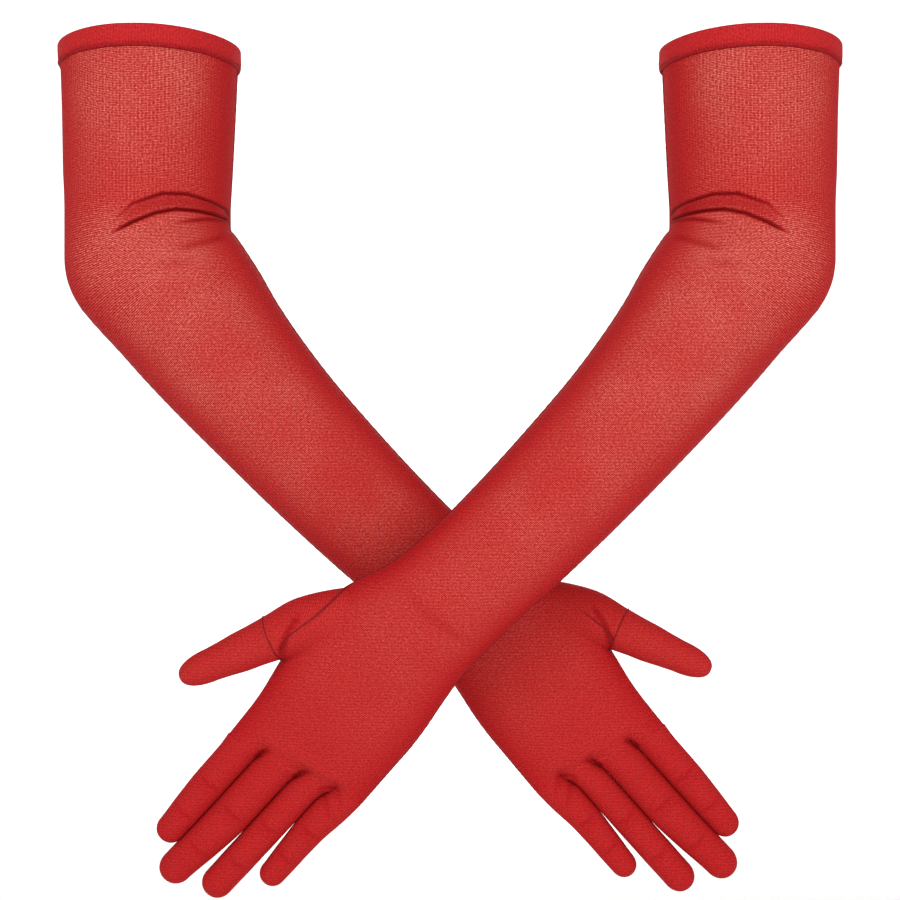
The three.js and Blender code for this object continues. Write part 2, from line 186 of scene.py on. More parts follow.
@dataclass(frozen=True)
class ArmFrame:
    """Directions and places of one glove, taken from the model's hinges, in millimetres.

    A place on the upper sleeve or the elbow is (out, up) from the elbow's centre. One on the
    forearm or the hand is (along, side): towards the fingertips, and to the little finger's side.
    """

    hand: Hand
    elbow: Array
    arm: Array
    ulnar: Array
    wrist_along: float
    wrist_lean: float
    tip_lean: float = 6.0
    tip_along: float = 412.0

    @classmethod
    def of(cls, hand: Hand) -> "ArmFrame":
        """Reads the elbow's and the wrist's hinges.

        Args:
            hand: The glove.

        Returns:
            That glove's frame.
        """
        places = {j["name"]: np.array(j.get("pos_m", (0, 0, 0))) / MM for j in frame["joints"]}
        elbow = places[f"{hand.value}_elbow_bend"]
        wrist = places[f"{hand.value}_wrist_bend"]
        flat = (wrist - elbow) * (1, 0, 1)
        arm = unit(flat)
        ulnar = np.array([-arm[2], 0.0, arm[0]]) * hand.out
        return cls(hand, elbow, arm, ulnar, float(np.linalg.norm(flat)), float(wrist[1]))

    def lean(self, along: Array) -> Array:
        """How far the glove's middle surface stands off Y = 0.

        Args:
            along: Places along the arm from the elbow.

        Returns:
            The Y of the middle surface at each place.
        """
        sign = math.copysign(1.0, self.wrist_lean)
        knots = [-80.0, 0.0, self.wrist_along / 2, self.wrist_along, 320.0, self.tip_along + 60]
        past = (abs(self.wrist_lean) - self.tip_lean) / (self.tip_along - self.wrist_along)
        high = abs(self.wrist_lean)
        values = [0.0, 0.0, high / 2, high - 0.6]
        values += [high - past * (k - self.wrist_along) for k in knots[4:]]
        return sign * through(knots, values, np.ravel(along)).reshape(np.shape(along))

    def at(self, out: Array, up: Array, palmward: Array) -> Array:
        """Points from (out, up) and the height off the middle surface towards the palm's side.

        Args:
            out: Millimetres outwards from the elbow's centre.
            up: Millimetres above it.
            palmward: Millimetres towards -Y from the glove's middle surface.

        Returns:
            Points with a last axis of 3.
        """
        out, up, palmward = np.broadcast_arrays(out, up, palmward)
        sin, cos = -self.arm[0] * self.hand.out, -self.arm[2]
        along = -sin * out - cos * up
        y = self.elbow[1] + self.lean(along) - palmward
        return np.stack([self.elbow[0] + out * self.hand.out, y, self.elbow[2] + up], axis=-1)

    def place(self, along: Array, side: Array, palmward: Array) -> Array:
        """Points from (along, side) and the height towards the palm's side, as in at.

        Args:
            along: Places towards the fingertips.
            side: Places to the little finger's side.
            palmward: Millimetres towards -Y from the glove's middle surface.

        Returns:
            Points with a last axis of 3.
        """
        out, up = self.turned(along, side)
        return self.at(out, up, palmward)

    def turned(self, along: Array, side: Array) -> tuple[Array, Array]:
        """(out, up) of places given as (along, side).

        Args:
            along: Places towards the fingertips.
            side: Places to the little finger's side.

        Returns:
            The millimetres outwards from the elbow's centre and above it.
        """
        sin, cos = -self.arm[0] * self.hand.out, -self.arm[2]
        along, side = np.broadcast_arrays(along, side)
        return -sin * along + cos * side, -cos * along - sin * side

    def flat(self, points: Array) -> Array:
        """(out, up) of points in the row frame.

        Args:
            points: Points with a last axis of 3.

        Returns:
            Places with a last axis of 2.
        """
        d = points - self.elbow
        return np.stack([d[..., 0] * self.hand.out, d[..., 2]], axis=-1)

    def unplaced(self, points: Array) -> tuple[Array, Array, Array]:
        """(along, side, palmward) of points in the row frame, which undoes place.

        Args:
            points: Points with a last axis of 3.

        Returns:
            The three measures of each point.
        """
        out, up = np.moveaxis(self.flat(points), -1, 0)
        sin, cos = -self.arm[0] * self.hand.out, -self.arm[2]
        along, side = -sin * out - cos * up, cos * out - sin * up
        return along, side, self.elbow[1] + self.lean(along) - points[..., 1]


# ---- Sizes ----


@dataclass(frozen=True)
class Ring:
    """One ring of the sleeve: its two edges as (out, up) from the elbow, and its half depth."""

    radial: tuple[float, float]
    ulnar: tuple[float, float]
    depth: float


@dataclass(frozen=True)
class SleeveSizes:
    """The sleeve and palm, in millimetres.

    upper rows are (down from the hem's top, radial, ulnar, half depth). fore rows are (along from
    the elbow, radial, ulnar, half depth, slant), where slant tips the ring as the knuckles are.
    """

    upper: tuple = (
        (9.4, 43.9, 43.4, 43.8),
        (35, 42.7, 42.6, 42.8),
        (60, 41.4, 42.2, 41.8),
        (82, 40.2, 41.5, 40.8),
    )
    fan: tuple = ((3.0, 0.0), (1.7, 10.5), (0.5, 21.0), (1.7, 31.6), (3.0, 42.1))
    fore: tuple = (
        (24, 39.6, 41.0, 39.6, 0),
        (40, 37.0, 41.3, 38.0, 0),
        (58, 33.0, 41.2, 35.6, 0),
        (97, 28.2, 39.8, 31.6, 0),
        (136, 26.9, 37.8, 28.0, 0),
        (176, 27.2, 34.6, 24.4, 0),
        (205, 28.8, 31.4, 21.8, 0),
        (232, 33.2, 29.4, 20.0, 0),
        (245, 38.8, 29.0, 19.2, 0.03),
        (257, 42.2, 29.8, 18.4, 0.07),
        (270, 43.2, 31.4, 17.6, 0.11),
        (285, 42.6, 33.4, 16.8, 0.16),
        (297, 40.4, 34.4, 15.8, 0.19),
        (312, 37.4, 34.8, 14.2, 0.23),
    )
    elbow_down: float = 106.0
    knuckle_along: float = 337.0
    knuckle_slant: float = 0.25
    knuckle_depth: float = 10.6
    web_run: float = 9.0
    web_floor: float = 3.4
    crook: tuple[float, float] = (-40.2, 15.5)


def raised(points: Array, mouth: float = 2.2, run: float = 45.0, deep: float = 44.0) -> Array:
    """Lifts the front of the sleeve's mouth, which the arm inside holds up a little.

    The lift is mouth x (1 + z / run) eased x (share of the half depth in front of the middle)^2.

    Args:
        points: Points with a last axis of 3, in millimetres.
        mouth: The lift at the mouth's very front.
        run: How far down the sleeve it reaches.
        deep: The mouth's half depth.

    Returns:
        The lifted points.
    """
    front = np.clip(-points[..., 1] / deep, 0, 1) ** 2
    lift = mouth * ease(1 + points[..., 2] / run) * front
    return points + np.stack([0 * lift, 0 * lift, lift], axis=-1)


@dataclass(frozen=True)
class FingerSizes:
    """A finger: half widths, sideways shifts and the tip's place along the arm, in millimetres.

    base is at the web, near just past it, middle at the middle joint and end where the tip rounds.
    shift, drift and stray are how far the centre has moved at near, middle and end.
    """

    name: str
    base: float
    near: float
    middle: float
    end: float
    shift: float
    drift: float
    stray: float
    tip: float
    joint_share: float = 0.42
    flatness: float = 0.93


FINGERS: tuple[FingerSizes, ...] = (
    FingerSizes("index_finger", 8.9, 8.7, 8.5, 7.3, 0.15, 0.3, 1.35, 408.5),
    FingerSizes("middle_finger", 9.9, 9.95, 9.95, 8.3, -1.2, -1.2, -3.7, 422.5),
    FingerSizes("ring_finger", 8.1, 8.0, 8.0, 7.8, -2.1, -2.15, -2.3, 413.5),
    FingerSizes("little_finger", 7.2, 8.75, 7.9, 6.5, -1.6, -2.5, -1.5, 390.0),
)
FINGER_GAP = 0.9
FINGER_CLEARANCE = 0.004


@dataclass(frozen=True)
class ThumbSizes:
    """The thumb's centre line as (along, side, palmward, half width), in millimetres."""

    stations: tuple = (
        (250, -20, 0.0, 8.0),
        (262, -31, 0.8, 13.2),
        (279, -43, 2.5, 13.6),
        (295.5, -51, 4.0, 11.3),
        (310, -57.4, 4.8, 9.7),
        (325.5, -64.4, 5.2, 8.2),
    )
    gusset: tuple = (
        (249.5, -40.1),
        (255, -41.5),
        (263, -42),
        (272.4, -42.8),
        (280.4, -44.4),
        (288, -45.6),
        (295.3, -44.6),
        (300.3, -41.4),
    )
    tip_reach: float = 17.0
    seam_station: int = 3
    flatness: float = 0.93


@dataclass(frozen=True)
class Fold:
    """A crease or a raised roll that the cloth makes on one face of the glove.

    line holds (out, up) points, or (along, side) points where on_hand is set. depth is how far the
    cloth sinks, or rises where it is negative. dark is how much darker the colour is painted along
    the fold: partly the denser gathered net, partly painted shade in the crease.
    fade and end_fade are the shares of its length over which it comes and goes.
    """

    line: tuple
    width: float
    depth: float
    side: Side = Side.PALM
    on_hand: bool = False
    density_and_painted_shade: float = 0.0
    fade: float = 0.25
    end_fade: float | None = None


# Each fold's dark value paints the colour darker along it: painted shade in the crease, with the denser
# gathered net.
ELBOW_FOLDS: tuple[Fold, ...] = (
    Fold(
        (
            (14.5, 9), (9, 16), (1.3, 23), (-13, 28.2),
            (-24, 28.8), (-34.9, 26.4), (-39.2, 25), (-41, 21),
        ),
        0.75, 1.3, density_and_painted_shade=0.9, fade=0.55, end_fade=0.03,
    ),
    Fold(
        (
            (12, 8), (9, 10.5), (1.3, 14.2), (-9.7, 18.9),
            (-19.2, 21.2), (-27.8, 21.3), (-34.9, 20.8), (-41, 20),
        ),
        0.75, 1.5, density_and_painted_shade=1.0, fade=0.16, end_fade=0.03,
    ),
    Fold(((9, 13), (-4, 21.6), (-16, 25), (-28, 25), (-39, 23)), 2.4, -1.3, density_and_painted_shade=0.2, end_fade=0.1),
    Fold(((-14, 13), (-24, 15.8), (-33, 18), (-41, 19)), 0.9, 0.6, density_and_painted_shade=0.5, fade=0.6, end_fade=0.05),
    Fold(((16, -2), (4, 8.5), (-8, 13), (-20, 15), (-32, 14)), 3.2, -0.6, fade=0.4),
    Fold(((38, -12), (26, -6), (12, -7), (-4, -3)), 3.4, 0.35, fade=0.45),
    Fold(((34, 8), (22, 4), (8, 1)), 3.0, 0.3, fade=0.45),
    Fold(((-41, 11), (-33, 7), (-24, 3.5), (-14, 3)), 1.8, 0.5, density_and_painted_shade=0.22, fade=0.15, end_fade=0.5),
    Fold(((-30, -2), (-20, -5), (-8, -6)), 2.2, 0.35, density_and_painted_shade=0.1, fade=0.4),
    Fold(
        ((14, 10), (-2, 20), (-18, 23), (-30, 22), (-41, 19)),
        1.2, 1.1, Side.BACK, density_and_painted_shade=0.7, end_fade=0.04,
    ),
    Fold(((20, 2), (4, 10), (-12, 14), (-28, 15)), 2.0, 0.8, Side.BACK, density_and_painted_shade=0.25),
    Fold(((-8, 30), (-20, 33), (-34, 31)), 2.0, 0.6, Side.BACK, density_and_painted_shade=0.2),
    Fold(((40, 6), (24, -4), (10, -8)), 3.4, 0.5, Side.BACK, fade=0.45),
)

# Here too, dark paints shade into the colour along the wrist's creases, with the denser net.
WRIST_FOLDS: tuple[Fold, ...] = (
    Fold(((232, -26), (235, -8), (234, 10), (230, 26)), 2.4, 0.32, on_hand=True, density_and_painted_shade=0.1, fade=0.4),
    Fold(((222, -22), (224, -4), (221, 16)), 2.8, 0.25, on_hand=True, fade=0.45),
    Fold(((241, -20), (243, 0), (241, 20)), 2.6, 0.25, on_hand=True, fade=0.45),
    Fold(((230, -24), (234, 0), (230, 24)), 2.2, 0.5, Side.BACK, on_hand=True, density_and_painted_shade=0.15, fade=0.4),
    Fold(((240, -18), (243, 2), (240, 20)), 2.4, 0.4, Side.BACK, on_hand=True, fade=0.45),
)

# Here too, dark paints shade into the colour along the hand's creases, with the denser net.
HAND_FOLDS: tuple[Fold, ...] = (
    Fold(
        ((346, -18.4), (342, -17.4), (338.6, -15.9), (336.4, -13.4)),
        1.0, 0.8, on_hand=True, density_and_painted_shade=0.3, fade=0.1, end_fade=0.6,
    ),
    Fold(
        ((341, 1.6), (336.6, 3.2), (332.4, 5.8), (330, 8.6)),
        1.0, 0.8, on_hand=True, density_and_painted_shade=0.3, fade=0.1, end_fade=0.6,
    ),
    Fold(
        ((335, 15.6), (332, 18.2), (330.4, 21.6), (328.6, 24.6)),
        1.0, 0.7, on_hand=True, density_and_painted_shade=0.26, fade=0.1, end_fade=0.6,
    ),
    Fold(((332, -22), (326, -8), (322, 6), (318, 20)), 4.0, 0.5, on_hand=True, fade=0.4),
    Fold(((312, -24), (308, -10), (306, 4)), 4.5, 0.45, on_hand=True, fade=0.45),
    Fold(((262, -22), (276, -14), (290, -12), (304, -16)), 5.5, 0.7, on_hand=True, fade=0.4),
    Fold(((275, -49), (286.4, -47.6), (295.3, -44.6), (301, -41)), 1.0, 0.5, on_hand=True, density_and_painted_shade=0.45),
    Fold(((289, -46.5), (296, -43), (303, -38)), 1.6, 0.35, on_hand=True, density_and_painted_shade=0.25),
    Fold(((344, 31), (338, 22), (333, 12)), 1.4, 0.22, on_hand=True, density_and_painted_shade=0.1, fade=0.3),
    Fold(((338, 32), (331, 24), (326, 14)), 1.6, 0.2, on_hand=True, density_and_painted_shade=0.06, fade=0.3),
    Fold(((300, 2), (284, 4), (268, 4)), 9.0, 1.0, on_hand=True, fade=0.45),
    Fold(((268, 20), (284, 22), (300, 22)), 8.0, -0.7, on_hand=True, fade=0.45),
)


@dataclass(frozen=True)
class Cuts:
    """Places along the glove where one piece of cloth ends and the next begins, in millimetres."""

    upper_end: float = 44.0
    forearm_start: float = 62.0
    forearm_end: float = 196.0
    hand_start: float = 262.0
    finger_split: float = 0.7


# ---- Cloth ----


@dataclass
class Patch:
    """A grid of points that a stretch of cloth follows.

    points has rows along the glove and columns round it. uv is in millimetres of cloth. rows says
    which piece each band between two rows belongs to. openness is 1 where the net is pulled open
    and 0 where it is dense. It is set high on the middle of each face and low at its sides: partly
    the net pulled open over the arm, partly painted light on the faces and painted shade at the sides.
    """

    points: Array
    uv: Array
    bands: list[str]
    openness: Array

    def corners(self) -> tuple[Array, list[str]]:
        """The four corners of every face, with the piece that the face belongs to.

        Returns:
            The corners as places in the flattened grid, and the pieces' names.
        """
        rows, cols = self.points.shape[:2]
        index = np.arange(rows * cols).reshape(rows, cols)
        a, b = index[:-1, :-1], index[:-1, 1:]
        c, d = index[1:, 1:], index[1:, :-1]
        faces = np.stack([a, b, c, d], axis=-1).reshape(-1, 4)
        names = [band for band in self.bands for _ in range(cols - 1)]
        return faces, names


@dataclass
class Cloth:
    """All of one glove's cloth, welded so that its shading runs on from piece to piece."""

    arm: ArmFrame
    points: Array = field(default_factory=lambda: np.zeros((0, 3)))
    uv: Array = field(default_factory=lambda: np.zeros((0, 2)))
    # Paler on the middle of each face and redder at its sides: the net pulled open, and painted light and
    # shade.
    openness: Array = field(default_factory=lambda: np.zeros(0))
    # How much darker the colour is painted at each point: painted shade in the creases, with the denser
    # gathered net.
    fold: Array = field(default_factory=lambda: np.zeros(0))
    faces: Array = field(default_factory=lambda: np.zeros((0, 4), int))
    names: list[str] = field(default_factory=list)
    normals: Array = field(default_factory=lambda: np.zeros((0, 3)))
    weld: Array = field(default_factory=lambda: np.zeros(0, int))

    def add(self, patch: Patch) -> None:
        """Adds a patch's grid to the cloth.

        Args:
            patch: The grid.
        """
        faces, names = patch.corners()
        if self.arm.hand is Hand.RIGHT:
            faces = faces[:, ::-1]
        self.faces = np.vstack([self.faces, faces + len(self.points)])
        self.names += names
        self.points = np.vstack([self.points, patch.points.reshape(-1, 3)])
        self.uv = np.vstack([self.uv, patch.uv.reshape(-1, 2)])
        self.openness = np.concatenate([self.openness, patch.openness.ravel()])
        self.fold = np.zeros(len(self.points))

    def shade(self) -> None:
        """Welds points that coincide, and finds each point's normal as the sum of its faces'."""
        keys = np.round(self.points / 0.002).astype(np.int64)
        _, self.weld = np.unique(keys, axis=0, return_inverse=True)
        self.weld = self.weld.ravel()
        p = self.points
        a, b, c, d = (p[self.faces[:, k]] for k in range(4))
        face = np.cross(c - a, d - b)
        total = np.zeros((self.weld.max() + 1, 3))
        for k in range(4):
            np.add.at(total, self.weld[self.faces[:, k]], face)
        self.normals = unit(total)[self.weld]

    def crease(self, folds: tuple[Fold, ...]) -> None:
        """Sinks the cloth along each fold by depth x exp(-(distance / width)^2).

        A fold fades in and out over the share of its length that fade gives, and shows only on
        the face of the glove that it belongs to. It also records in fold how much darker the colour
        is painted there: partly the denser gathered net, partly painted shade in the crease.

        Args:
            folds: The creases and rolls.
        """
        self.shade()
        flat = self.arm.flat(self.points)
        facing = -self.normals[:, 1]
        move = np.zeros(len(self.points))
        for fold in folds:
            line = np.array(fold.line, float)
            if fold.on_hand:
                line = np.stack(self.arm.turned(line[:, 0], line[:, 1]), axis=-1)
            near = np.all(
                (flat > line.min(0) - 4 * fold.width) & (flat < line.max(0) + 4 * fold.width), axis=1
            )
            near &= facing * fold.side.value > 0.02
            if not near.any():
                continue
            gap, share = off_line(flat[near], line)
            strength = np.exp(-((gap / fold.width) ** 2))
            last = fold.fade if fold.end_fade is None else fold.end_fade
            strength *= ease(share / fold.fade) * ease((1 - share) / last)
            shown = facing[near] * fold.side.value
            move[near] -= fold.depth * strength * ease(shown / 0.4)
            # Painted shade: how much darker the colour is painted here, for the shade in the crease along
            # with the denser net.
            seen = fold.density_and_painted_shade * strength * ease(shown / 0.1)
            self.fold[near] = np.maximum(self.fold[near], seen)
        self.points = self.points + self.normals * move[:, None]
        self.shade()

    def soften(self, line: Array, reach: float) -> None:
        """Turns the normals near a line towards their shared mean there, as a fillet would.

        Args:
            line: Points of the line, in the row frame.
            reach: How far from the line the turn begins, in millimetres.
        """
        lo, hi = line.min(0) - reach, line.max(0) + reach
        near = np.nonzero(np.all((self.points > lo) & (self.points < hi), axis=1))[0]
        gap, share = off_line(self.points[near], line)
        close = gap < reach
        near, gap, share = near[close], gap[close], share[close]
        bins = 48
        slot = np.minimum((share * bins).astype(int), bins - 1)
        total = np.zeros((bins, 3))
        np.add.at(total, slot, self.normals[near] * (1 - gap / reach)[:, None])
        total = sum(np.roll(total, k, axis=0) for k in (-1, 0, 1))
        mean = unit(total)[slot]
        pull = 0.85 * ease(1 - gap / reach)[:, None]
        self.normals[near] = unit(self.normals[near] * (1 - pull) + mean * pull)

    def cut(self, name: str, label: str) -> bpy.types.Object:
        """Makes the object of every face that belongs to one piece.

        Args:
            name: The piece, as its bands name it.
            label: The object's name.

        Returns:
            The new object, with its UV map, its attributes and its normals.
        """
        mine = np.array([n == name for n in self.names])
        corners = self.faces[mine]
        welded = self.weld[corners]
        _, first, local = np.unique(welded.ravel(), return_index=True, return_inverse=True)
        local = local.reshape(-1, 4)
        source = corners.ravel()[first]
        same = local == np.roll(local, -1, axis=1)
        whole = ~same.any(axis=1)
        tri = same.sum(axis=1) == 1
        keep = ~same[tri]
        tris = local[tri][keep].reshape(-1, 3)
        tri_corners = corners[tri][keep].reshape(-1, 3)
        mesh = bpy.data.meshes.new(label)
        mesh.from_pydata(
            self.points[source] * MM, [], local[whole].tolist() + tris.tolist()
        )
        loops = np.concatenate([corners[whole].ravel(), tri_corners.ravel()])
        uv = mesh.uv_layers.new(name="cloth")
        uv.data.foreach_set("uv", self.uv[loops].astype(np.float32).ravel())
        below = ease((26.0 - self.arm.flat(self.points)[:, 1]) / 4.0)
        # openness carries the net pulled open with painted light on the faces, and fold the painted shade
        # in the creases.
        held = {
            "openness": self.openness,
            "fold": self.fold,
            "level": self.points[:, 2],
            "below": below,
        }
        for key, values in held.items():
            layer = mesh.attributes.new(key, "FLOAT", "POINT")
            layer.data.foreach_set("value", values[source].astype(np.float32))
        mesh.shade_smooth()
        mesh.update()
        mesh.normals_split_custom_set_from_vertices(self.normals[source].tolist())
        thing = bpy.data.objects.new(label, mesh)
        bpy.context.scene.collection.objects.link(thing)
        return thing


def arc_uv(points: Array, along: Array, scale: Array) -> Array:
    """UV in millimetres: u is the arc length round each row from its first column's opposite.

    Args:
        points: A grid of points.
        along: The length of cloth down to each row.
        scale: How much finer than true the pattern is on each row.

    Returns:
        The grid's UV.
    """
    step = np.linalg.norm(np.diff(points, axis=1), axis=2)
    arc = np.concatenate([np.zeros((len(points), 1)), np.cumsum(step, axis=1)], axis=1)
    arc = (arc - arc[:, -1:] * 0.25) * scale[:, None]
    return np.stack([arc, np.broadcast_to(along[:, None], arc.shape)], axis=-1)


@dataclass
class Sleeve:
    """The sleeve and palm of one glove, from under the hem to the webs between the fingers."""

    arm: ArmFrame
    sizes: SleeveSizes = field(default_factory=SleeveSizes)
    cuts: Cuts = field(default_factory=Cuts)
    half_columns: int = 28

    def rings(self) -> list[Ring]:
        """The rings that the two edges and the depth run through.

        Returns:
            The rings in order, from the hem to the knuckles.
        """
        s = self.sizes
        rings = [
            Ring((-radial, s.elbow_down - down), (ulnar, s.elbow_down - down), depth)
            for down, radial, ulnar, depth in s.upper
        ]
        last, first = s.upper[-1], s.fore[0]
        turned = lambda along, side: tuple(float(v) for v in self.arm.turned(along, side))
        for i, (slide, degrees) in enumerate(s.fan):
            share = i / (len(s.fan) - 1)
            angle = math.radians(degrees)
            reach = last[2] + (first[2] - last[2]) * share
            depth = last[3] + (first[3] - last[3]) * share
            push = (0.0, slide) if share < 0.5 else turned(slide, 0.0)
            crook = (s.crook[0] + push[0], s.crook[1] + push[1])
            rings.append(Ring(crook, (reach * math.cos(angle), -reach * math.sin(angle)), depth))
        half = self.knuckle_half()
        end = (s.knuckle_along, half, half, s.knuckle_depth, s.knuckle_slant)
        for along, radial, ulnar, depth, slant in (*s.fore, end):
            rings.append(
                Ring(
                    turned(along + slant * radial, -radial),
                    turned(along - slant * ulnar, ulnar),
                    depth,
                )
            )
        return rings

    @staticmethod
    def knuckle_half() -> float:
        """Half the width across the four finger bases.

        Returns:
            The half width.
        """
        return sum(f.base for f in FINGERS) + FINGER_GAP * (len(FINGERS) - 1) / 2

    def finger_sides(self) -> list[float]:
        """How far each finger's centre lies to the little finger's side at the knuckles.

        Returns:
            One place for each finger, from the index finger on.
        """
        edge = -self.knuckle_half()
        sides = []
        for finger in FINGERS:
            sides.append(edge + finger.base)
            edge += 2 * finger.base + FINGER_GAP
        return sides

    def columns(self) -> tuple[Array, Array, Array]:
        """The columns round the palm, as the fingers need them.

        Each finger takes half_columns steps of its own half circle on each face, so its columns
        crowd towards the webs. On the sleeve they are evenly spread.

        Returns:
            The palm face's lateral share from -1 to 1, the finger's own half angle, and the
            finger's half width, for each column from the thumb's edge to the other.
        """
        half = self.knuckle_half()
        share, own, width = [], [], []
        for finger, side in zip(FINGERS, self.finger_sides()):
            angle = np.pi * np.arange(self.half_columns + 1) / self.half_columns
            wide = finger.base + FINGER_GAP / 2
            share.append((side - wide * np.cos(angle)) / half)
            own.append(angle)
            width.append(np.full_like(angle, finger.base))
        joined = lambda parts: np.concatenate([parts[0]] + [p[1:] for p in parts[1:]])
        lateral = np.clip(joined(share), -1, 1)
        lateral[0], lateral[-1] = -1.0, 1.0
        return lateral, joined(own), joined(width)

    def patch(self) -> Patch:
        """The sleeve's grid.

        Row by row, the ring runs from the radial edge over the palm's face to the ulnar edge and
        back over the other face: centre - cos(angle) x half width, and sin(angle) x depth. Near
        the webs the height turns into the fingers' own half circles.

        Returns:
            The patch, with its bands named for the pieces.
        """
        rings = self.rings()
        radial = np.array([r.radial for r in rings])
        ulnar = np.array([r.ulnar for r in rings])
        depth = np.array([r.depth for r in rings])
        middle = (radial + ulnar) / 2
        step = 0.5 * (
            np.linalg.norm(np.diff(radial, axis=0), axis=1)
            + np.linalg.norm(np.diff(ulnar, axis=0), axis=1)
        )
        t = np.concatenate([[0.0], np.cumsum(step)])
        fine = [(0.0, 1.9), (44.0, 1.9), (52.0, 0.55), (86.0, 0.6), (104.0, 1.9)]
        fine += [(t[-1] - 40.0, 1.9), (t[-1] - 28.0, 1.0), (t[-1], 0.9)]
        probe = np.linspace(0, t[-1], 4000)
        density = 1 / np.interp(probe, *zip(*fine))
        count = np.concatenate([[0], np.cumsum((density[1:] + density[:-1]) / 2 * np.diff(probe))])
        rows = int(round(count[-1]))
        at = np.interp(np.linspace(0, count[-1], rows + 1), count, probe)
        radial, ulnar = through(t, radial, at), through(t, ulnar, at)
        depth = through(t, depth, at)

        lateral, own, width = self.columns()
        packed = np.arccos(-lateral)
        even = np.linspace(0, np.pi, len(lateral))
        along_mid = -(-self.arm.arm[0] * self.arm.hand.out) * (radial + ulnar)[:, 0] / 2
        along_mid = along_mid + self.arm.arm[2] * (radial + ulnar)[:, 1] / 2
        spread = ease((along_mid - 225.0) / 85.0)[:, None]
        angle = even * (1 - spread) + packed * spread
        across = 0.5 * (1 - np.cos(angle))[..., None]
        flat = radial[:, None] * (1 - across) + ulnar[:, None] * across
        height = np.sin(angle) * depth[:, None]
        to_web = np.linalg.norm(middle[-1] - (radial + ulnar) / 2, axis=1)
        pinch = (ease(1 - to_web / self.sizes.web_run) ** 1.6)[:, None]
        inner = 1 - np.abs(lateral) ** 8
        floor = self.sizes.web_floor * (1 - np.sin(own)) * inner
        lobe = np.hypot(np.sin(own) * width * FINGERS[0].flatness, floor)
        palm = height * (1 - pinch) + lobe * pinch
        front = self.arm.at(flat[..., 0], flat[..., 1], palm)
        back = self.arm.at(flat[..., 0], flat[..., 1], -palm)[:, -2::-1]
        points = raised(np.concatenate([front, back], axis=1))

        length = np.concatenate(
            [[0], np.cumsum(np.linalg.norm(np.diff((radial + ulnar) / 2, axis=0), axis=1))]
        )
        girth = np.linalg.norm(np.diff(points, axis=1), axis=2).sum(axis=1)
        uv = arc_uv(points, length, (150.0 / girth) ** 0.3)
        # openness: paler on the middle of each face and redder at its sides, partly the net pulled open
        # over the arm and partly painted light on the faces and painted shade at the sides; region sets it
        # along the arm.
        turned = np.sin(np.concatenate([angle, angle[:, -2::-1]], axis=1))
        centre = ease((turned - 0.3) / 0.6)
        region = np.interp(
            along_mid,
            [-106, -60, -34, -20, -8, 25, 60, 100, 140, 200, 240, 300, 340],
            [0.82, 0.8, 0.66, 0.55, 0.86, 0.8, 0.74, 0.66, 0.58, 0.58, 0.5, 0.34, 0.2],
        )
        bands = self.bands(along_mid, length, (radial[:, 1] + ulnar[:, 1]) / 2)
        return Patch(points, uv, bands, centre * region[:, None])

    def bands(self, along: Array, length: Array, up: Array) -> list[str]:
        """Names the piece of each band between two rows.

        Args:
            along: The rows' places along the forearm.
            length: The rows' places along the cloth.
            up: The rows' heights over the elbow.

        Returns:
            One name for each band.
        """
        c = self.cuts
        down = self.sizes.elbow_down - up
        middle = lambda v: (v[:-1] + v[1:]) / 2
        names = []
        for a, d in zip(middle(along), middle(down)):
            if a < 20 and d < c.upper_end:
                names.append("upper_sleeve")
            elif a < c.forearm_start:
                names.append("elbow")
            elif a < c.forearm_end:
                names.append("forearm")
            elif a < c.hand_start:
                names.append("wrist")
            else:
                names.append("palm")
        return names

    def surface(self, along: Array, side: Array) -> tuple[Array, Array, Array]:
        """The palm's section where a place lies.

        Args:
            along: Places towards the fingertips.
            side: Places to the little finger's side.

        Returns:
            The section's centre, half width and half depth at each.
        """
        s = self.sizes
        half = self.knuckle_half()
        table = np.array([*s.fore, (s.knuckle_along, half, half, s.knuckle_depth, s.knuckle_slant)])
        level = np.ravel(along).astype(float)
        flat_side = np.ravel(side).astype(float)
        for _ in range(3):
            slant = through(table[:, 0], table[:, 4], np.clip(level, 24, s.knuckle_along))
            level = np.ravel(along) + slant * flat_side
        level = np.clip(level, 24, s.knuckle_along)
        radial, ulnar, depth = through(table[:, 0], table[:, 1:4], level).T
        shape = np.shape(along)
        return tuple(
            v.reshape(shape) for v in ((ulnar - radial) / 2, (ulnar + radial) / 2, depth)
        )


